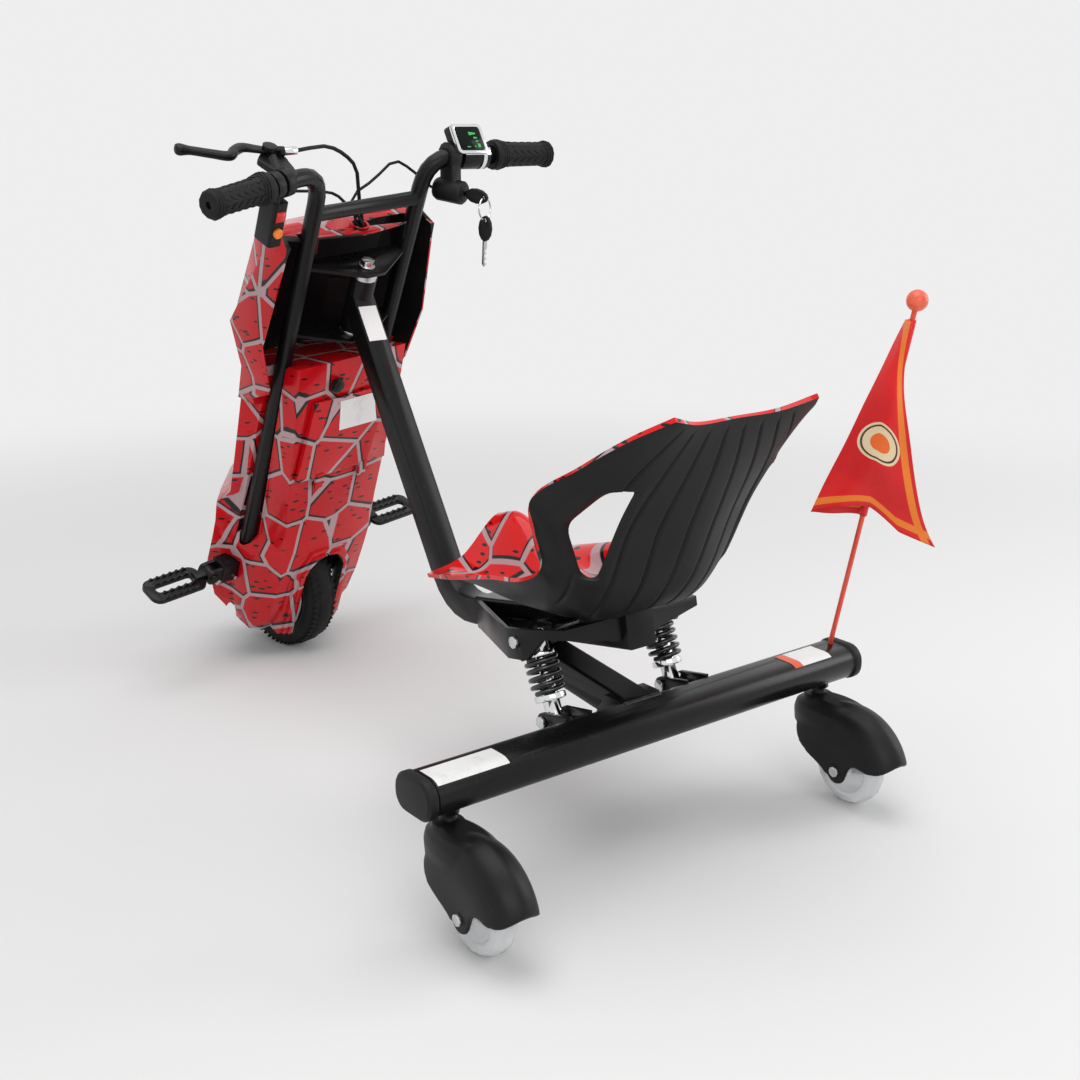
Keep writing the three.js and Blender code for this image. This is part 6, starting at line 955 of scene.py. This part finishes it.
def hoop_plate(name, outer, inner):
    """A bright ring with square edges between two outlines, each given at its two faces."""
    work = bmesh.new()
    loops = [[work.verts.new(p) for p in line] for line in (*outer, *reversed(inner))]
    skinned(work, loops + loops[:1], capped=False)
    set_on(built(name, work, chrome), "steering")


def rim_line(wide, deep, corner, out):
    return [by_screen(x, down, out) for x, down in round_box(wide, deep, corner, 6)]


bar_way = bar_run.normalized()
bar_back = bar_way.cross(UP_STEM)
clip_foot = by_stem(-164.5, -8.1, 190)


def clip_line(radius, x):
    return [clip_foot + bar_way * x + (bar_back * math.cos(a) + UP_STEM * math.sin(a)) * radius
            for a in round_steps(48)]


finished("display_unit", "steering", "plastic_black", moulded("display_case", 800, 0.3), chrome, edge=0.0008,
         pick=on_rim)
hoop_plate("display_band", *([rim_line(*size, out) for out in (-0.9, -3.4)]
                             for size in ((46.4, 40.4, 6.2), (45.0, 39.0, 5.5))))
hoop_plate("display_clip", *([clip_line(radius, x) for x in (0.0027, -0.0027)]
                             for radius in (0.0186, 0.0176)))
glass = drifting("dark_display_glass", (25, 2, 0.3, 0.7), (0.004, 0.006, 0.005), (0.008, 0.011, 0.010),
                 (0.06, 0.05), Specular_IOR_Level=0.12)
finished("display_screen", "steering", "screen_glass", glass, edge=0.0003)
lamp = Finish("green_display_bars", Emission_Strength=0.12, Specular_IOR_Level=0.2)
green = lamp.blend(lamp.between(lamp.noise(400, 1), 0.3, 0.7), (0.05, 0.36, 0.09), (0.07, 0.48, 0.14))
work = bmesh.new()
for x, down, wide, tall, slant in (
        (-5.7, -6.8, 10.0, 3.2, 1.6), (-9.0, -1.0, 5.4, 2.0, 0.8), (-10.2, 3.6, 3.4, 1.8, 0.5),
        (-11.5, 9.4, 3.8, 5.2, 0.4), (4.8, 11.0, 5.0, 1.3, 0.2), (-5.4, 10.6, 2.2, 1.6, 0.1)):
    corners = [(x + sx * wide / 2, down + sy * tall / 2 + slant * sx * sy / 2)
               for sx, sy in ((1, 1), (-1, 1), (-1, -1), (1, -1))]
    skinned(work, [[work.verts.new(by_screen(*corner, out)) for corner in corners] for out in (-0.1, -0.45)])
set_on(built("display_bars", work, lamp.give(green, 0.4, glow=green)), "steering")
finished("key_lock", "steering", "plastic_black", black_plastic, edge=0.0004)


def bow_or_blade(node):
    """Picks 0 for a key's moulded bow, which is its wider end, and 1 for its blade."""
    spread = np.array([v.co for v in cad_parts[node].data.vertices])
    middle = spread.mean(0)
    way = np.linalg.svd(spread - middle)[2][0]
    along = (spread - middle) @ way
    wide = np.linalg.norm(np.cross(spread - middle, way), axis=1)
    upper = along > np.median(along)
    if wide[upper].mean() < wide[~upper].mean():
        way, along = -way, -along
    edge = along.max() - BOW_LONG
    return lambda face: int((np.array(face.center) - middle) @ way < edge)


BOW_LONG = 0.0345
for node in ("ignition_key", "spare_key"):
    finished(node, node, "plastic_black", black_plastic, zinc, edge=0.0003, pick=bow_or_blade(node))
for node, slot, name, first, second in (
        ("light_switch", "switch_red", "red_switch_plastic", (0.70, 0.020, 0.022), (0.56, 0.014, 0.016)),
        ("horn_button", "button_orange", "orange_button_plastic", (0.93, 0.24, 0.012), (0.82, 0.18, 0.010))):
    finished(node, node, slot, drifting(name, (120, 2, 0.35, 0.7), first, second, (0.34, 0.1),
                                        (900, 1, 0.0001, 0.3), Coat_Weight=0.2), edge=0.0003)
for node in ("brake_cable", "lock_lead", "switch_lead"):
    finished(node, "steering", "rubber_black", rubber, sharp=60)


# Blank labels: thin white vinyl on the down tube, on both ends of the beam and under the lock of the
# battery door, and an orange band on the beam, pressed onto the surface and a little grimy.
vinyl, orange_vinyl = (
    drifting(name, (60, 4, 0.5, 0.85), first, second, (0.38, 0.15), (150, 2, 0.00006, 0.3), Coat_Weight=0.15)
    for name, first, second in (("white_vinyl", (0.82, 0.82, 0.81), (0.66, 0.66, 0.65)),
                                ("orange_vinyl", (0.80, 0.10, 0.035), (0.66, 0.08, 0.03))))
LABEL_CELLS, LABEL_TOP, LABEL_UNDER, DROP_FROM, BEAM_TOP = 10, 0.00035, 0.0001, 0.05, 177


def pressed_label(name, node, body, corners, facing, material):
    """A thin sheet laid on a node: each of its points drops onto the surface along the facing."""
    a, b, c, d = corners
    tree = rays_on(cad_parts[node].data)
    work = bmesh.new()
    shares = [k / LABEL_CELLS for k in range(LABEL_CELLS + 1)]

    def laid(u, v, lift):
        point = a * (1 - u) * (1 - v) + b * u * (1 - v) + c * u * v + d * (1 - u) * v
        hit = tree.ray_cast(point + facing * DROP_FROM, -facing)[0] or point
        return work.verts.new(hit + facing * lift)

    sheeted(work, *([[laid(u, v, lift) for u in shares] for v in shares]
                    for lift in (LABEL_TOP, LABEL_UNDER)))
    set_on(built(name, work, material), body)


for name, slot, material, (x1, x2, y1, y2) in (
        ("beam_label_left", "clear_wheel", vinyl, (210, 296, -9, 23)),
        ("beam_label_right", "clear_wheel", vinyl, (-217, -265, -12, 22)),
        ("beam_band_right", "ball_orange", orange_vinyl, (-204, -216.8, -12, 22))):
    pressed_label(name, "swing_arm", "rear_arm",
                  [by_frame(x, y, BEAM_TOP) for x, y in ((x1, y1), (x2, y1), (x2, y2), (x1, y2))],
                  UP, material)
TUBE_FALL = math.radians(58.2)
tube_way = Vector((0, math.cos(TUBE_FALL), -math.sin(TUBE_FALL)))
tube_out = Vector((0, math.sin(TUBE_FALL), math.cos(TUBE_FALL)))
tube_top = STEM + tube_way * 0.015 + tube_out * 0.02 + SIDEWAYS * 0.0008
pressed_label("tube_label", "front_frame", "frame",
              [tube_top + SIDEWAYS * x + tube_way * down
               for x, down in ((0.013, 0), (-0.013, 0), (-0.013, 0.049), (0.013, 0.049))], tube_out, vinyl)
pressed_label("door_label", "battery_cover", "battery_cover",
              [by_stem(x, 30, s) for x, s in ((22, -134), (-37, -134), (-51, -182), (17, -181))],
              BACK_STEM, vinyl)


# Studio: a pale floor that keeps the scooter's shadow and runs into the same pale background,
# one broad lamp over it, a long soft one behind the camera and a weaker one from the far side.
PALE, ROOM_LIGHT, FADE_FROM, FADE_TO = 0.86, 0.52, 0.9, 2.4
paper = bpy.data.materials.new("pale_paper")
paper.use_nodes = True
sheet = paper.node_tree
sheet.nodes.clear()
place = add_node(sheet, "ShaderNodeTexCoord", output="Object")
far = add_node(sheet, "ShaderNodeVectorMath", {0: place}, "Value", operation="LENGTH")
fade = add_node(sheet, "ShaderNodeMapRange", {
    "Value": far, "From Min": FADE_FROM, "From Max": FADE_TO, "To Min": 0.0, "To Max": 1.0},
    "Result", interpolation_type="SMOOTHSTEP")
matt = add_node(sheet, "ShaderNodeBsdfDiffuse", {"Color": (0.80, 0.80, 0.80, 1)})
lit = add_node(sheet, "ShaderNodeEmission", {"Color": (PALE, PALE, PALE, 1)})
mixed = add_node(sheet, "ShaderNodeMixShader", {0: fade, 1: matt, 2: lit})
add_node(sheet, "ShaderNodeOutputMaterial", {0: mixed})
work = bmesh.new()
bmesh.ops.create_circle(work, cap_ends=True, segments=96, radius=24)
floor = built("paper_floor", work, paper)
floor.location.z = -0.0005

sky = bpy.data.worlds.new("pale_room")
bpy.context.scene.world = sky
sky.use_nodes = True
room = sky.node_tree
room.nodes.clear()
rays = room.nodes.new("ShaderNodeLightPath").outputs
seen = add_node(room, "ShaderNodeMath", {0: rays["Is Camera Ray"], 1: rays["Is Transmission Ray"]},
                operation="MAXIMUM")
shown = add_node(room, "ShaderNodeMath", {0: seen, 1: rays["Is Glossy Ray"]}, operation="MAXIMUM")
plain = add_node(room, "ShaderNodeBackground", {"Color": (PALE, PALE, PALE, 1)})
soft = add_node(room, "ShaderNodeBackground", {"Color": (1, 1, 1, 1), "Strength": ROOM_LIGHT})
mixed = add_node(room, "ShaderNodeMixShader", {0: shown, 1: soft, 2: plain})
add_node(room, "ShaderNodeOutputWorld", {0: mixed})


def lamp_at(name, place, toward, wide, tall, watts):
    light = bpy.data.lights.new(name, "AREA")
    light.shape, light.size, light.size_y, light.energy = "RECTANGLE", wide, tall, watts
    holder = bpy.data.objects.new(name, light)
    holder.location = place
    holder.rotation_mode = "QUATERNION"
    holder.rotation_quaternion = (Vector(toward) - Vector(place)).to_track_quat("-Z", "Y")
    bpy.context.scene.collection.objects.link(holder)


lamp_at("overhead_lamp", (0.2, 0.3, 2.9), (0, 0, 0.2), 2.6, 2.6, 44)
lamp_at("near_lamp", (1.0, 2.6, 1.5), (0, 0.2, 0.2), 1.8, 0.7, 16)
lamp_at("far_lamp", (-2.2, 1.2, 1.2), (0, 0, 0.3), 0.9, 1.6, 15)
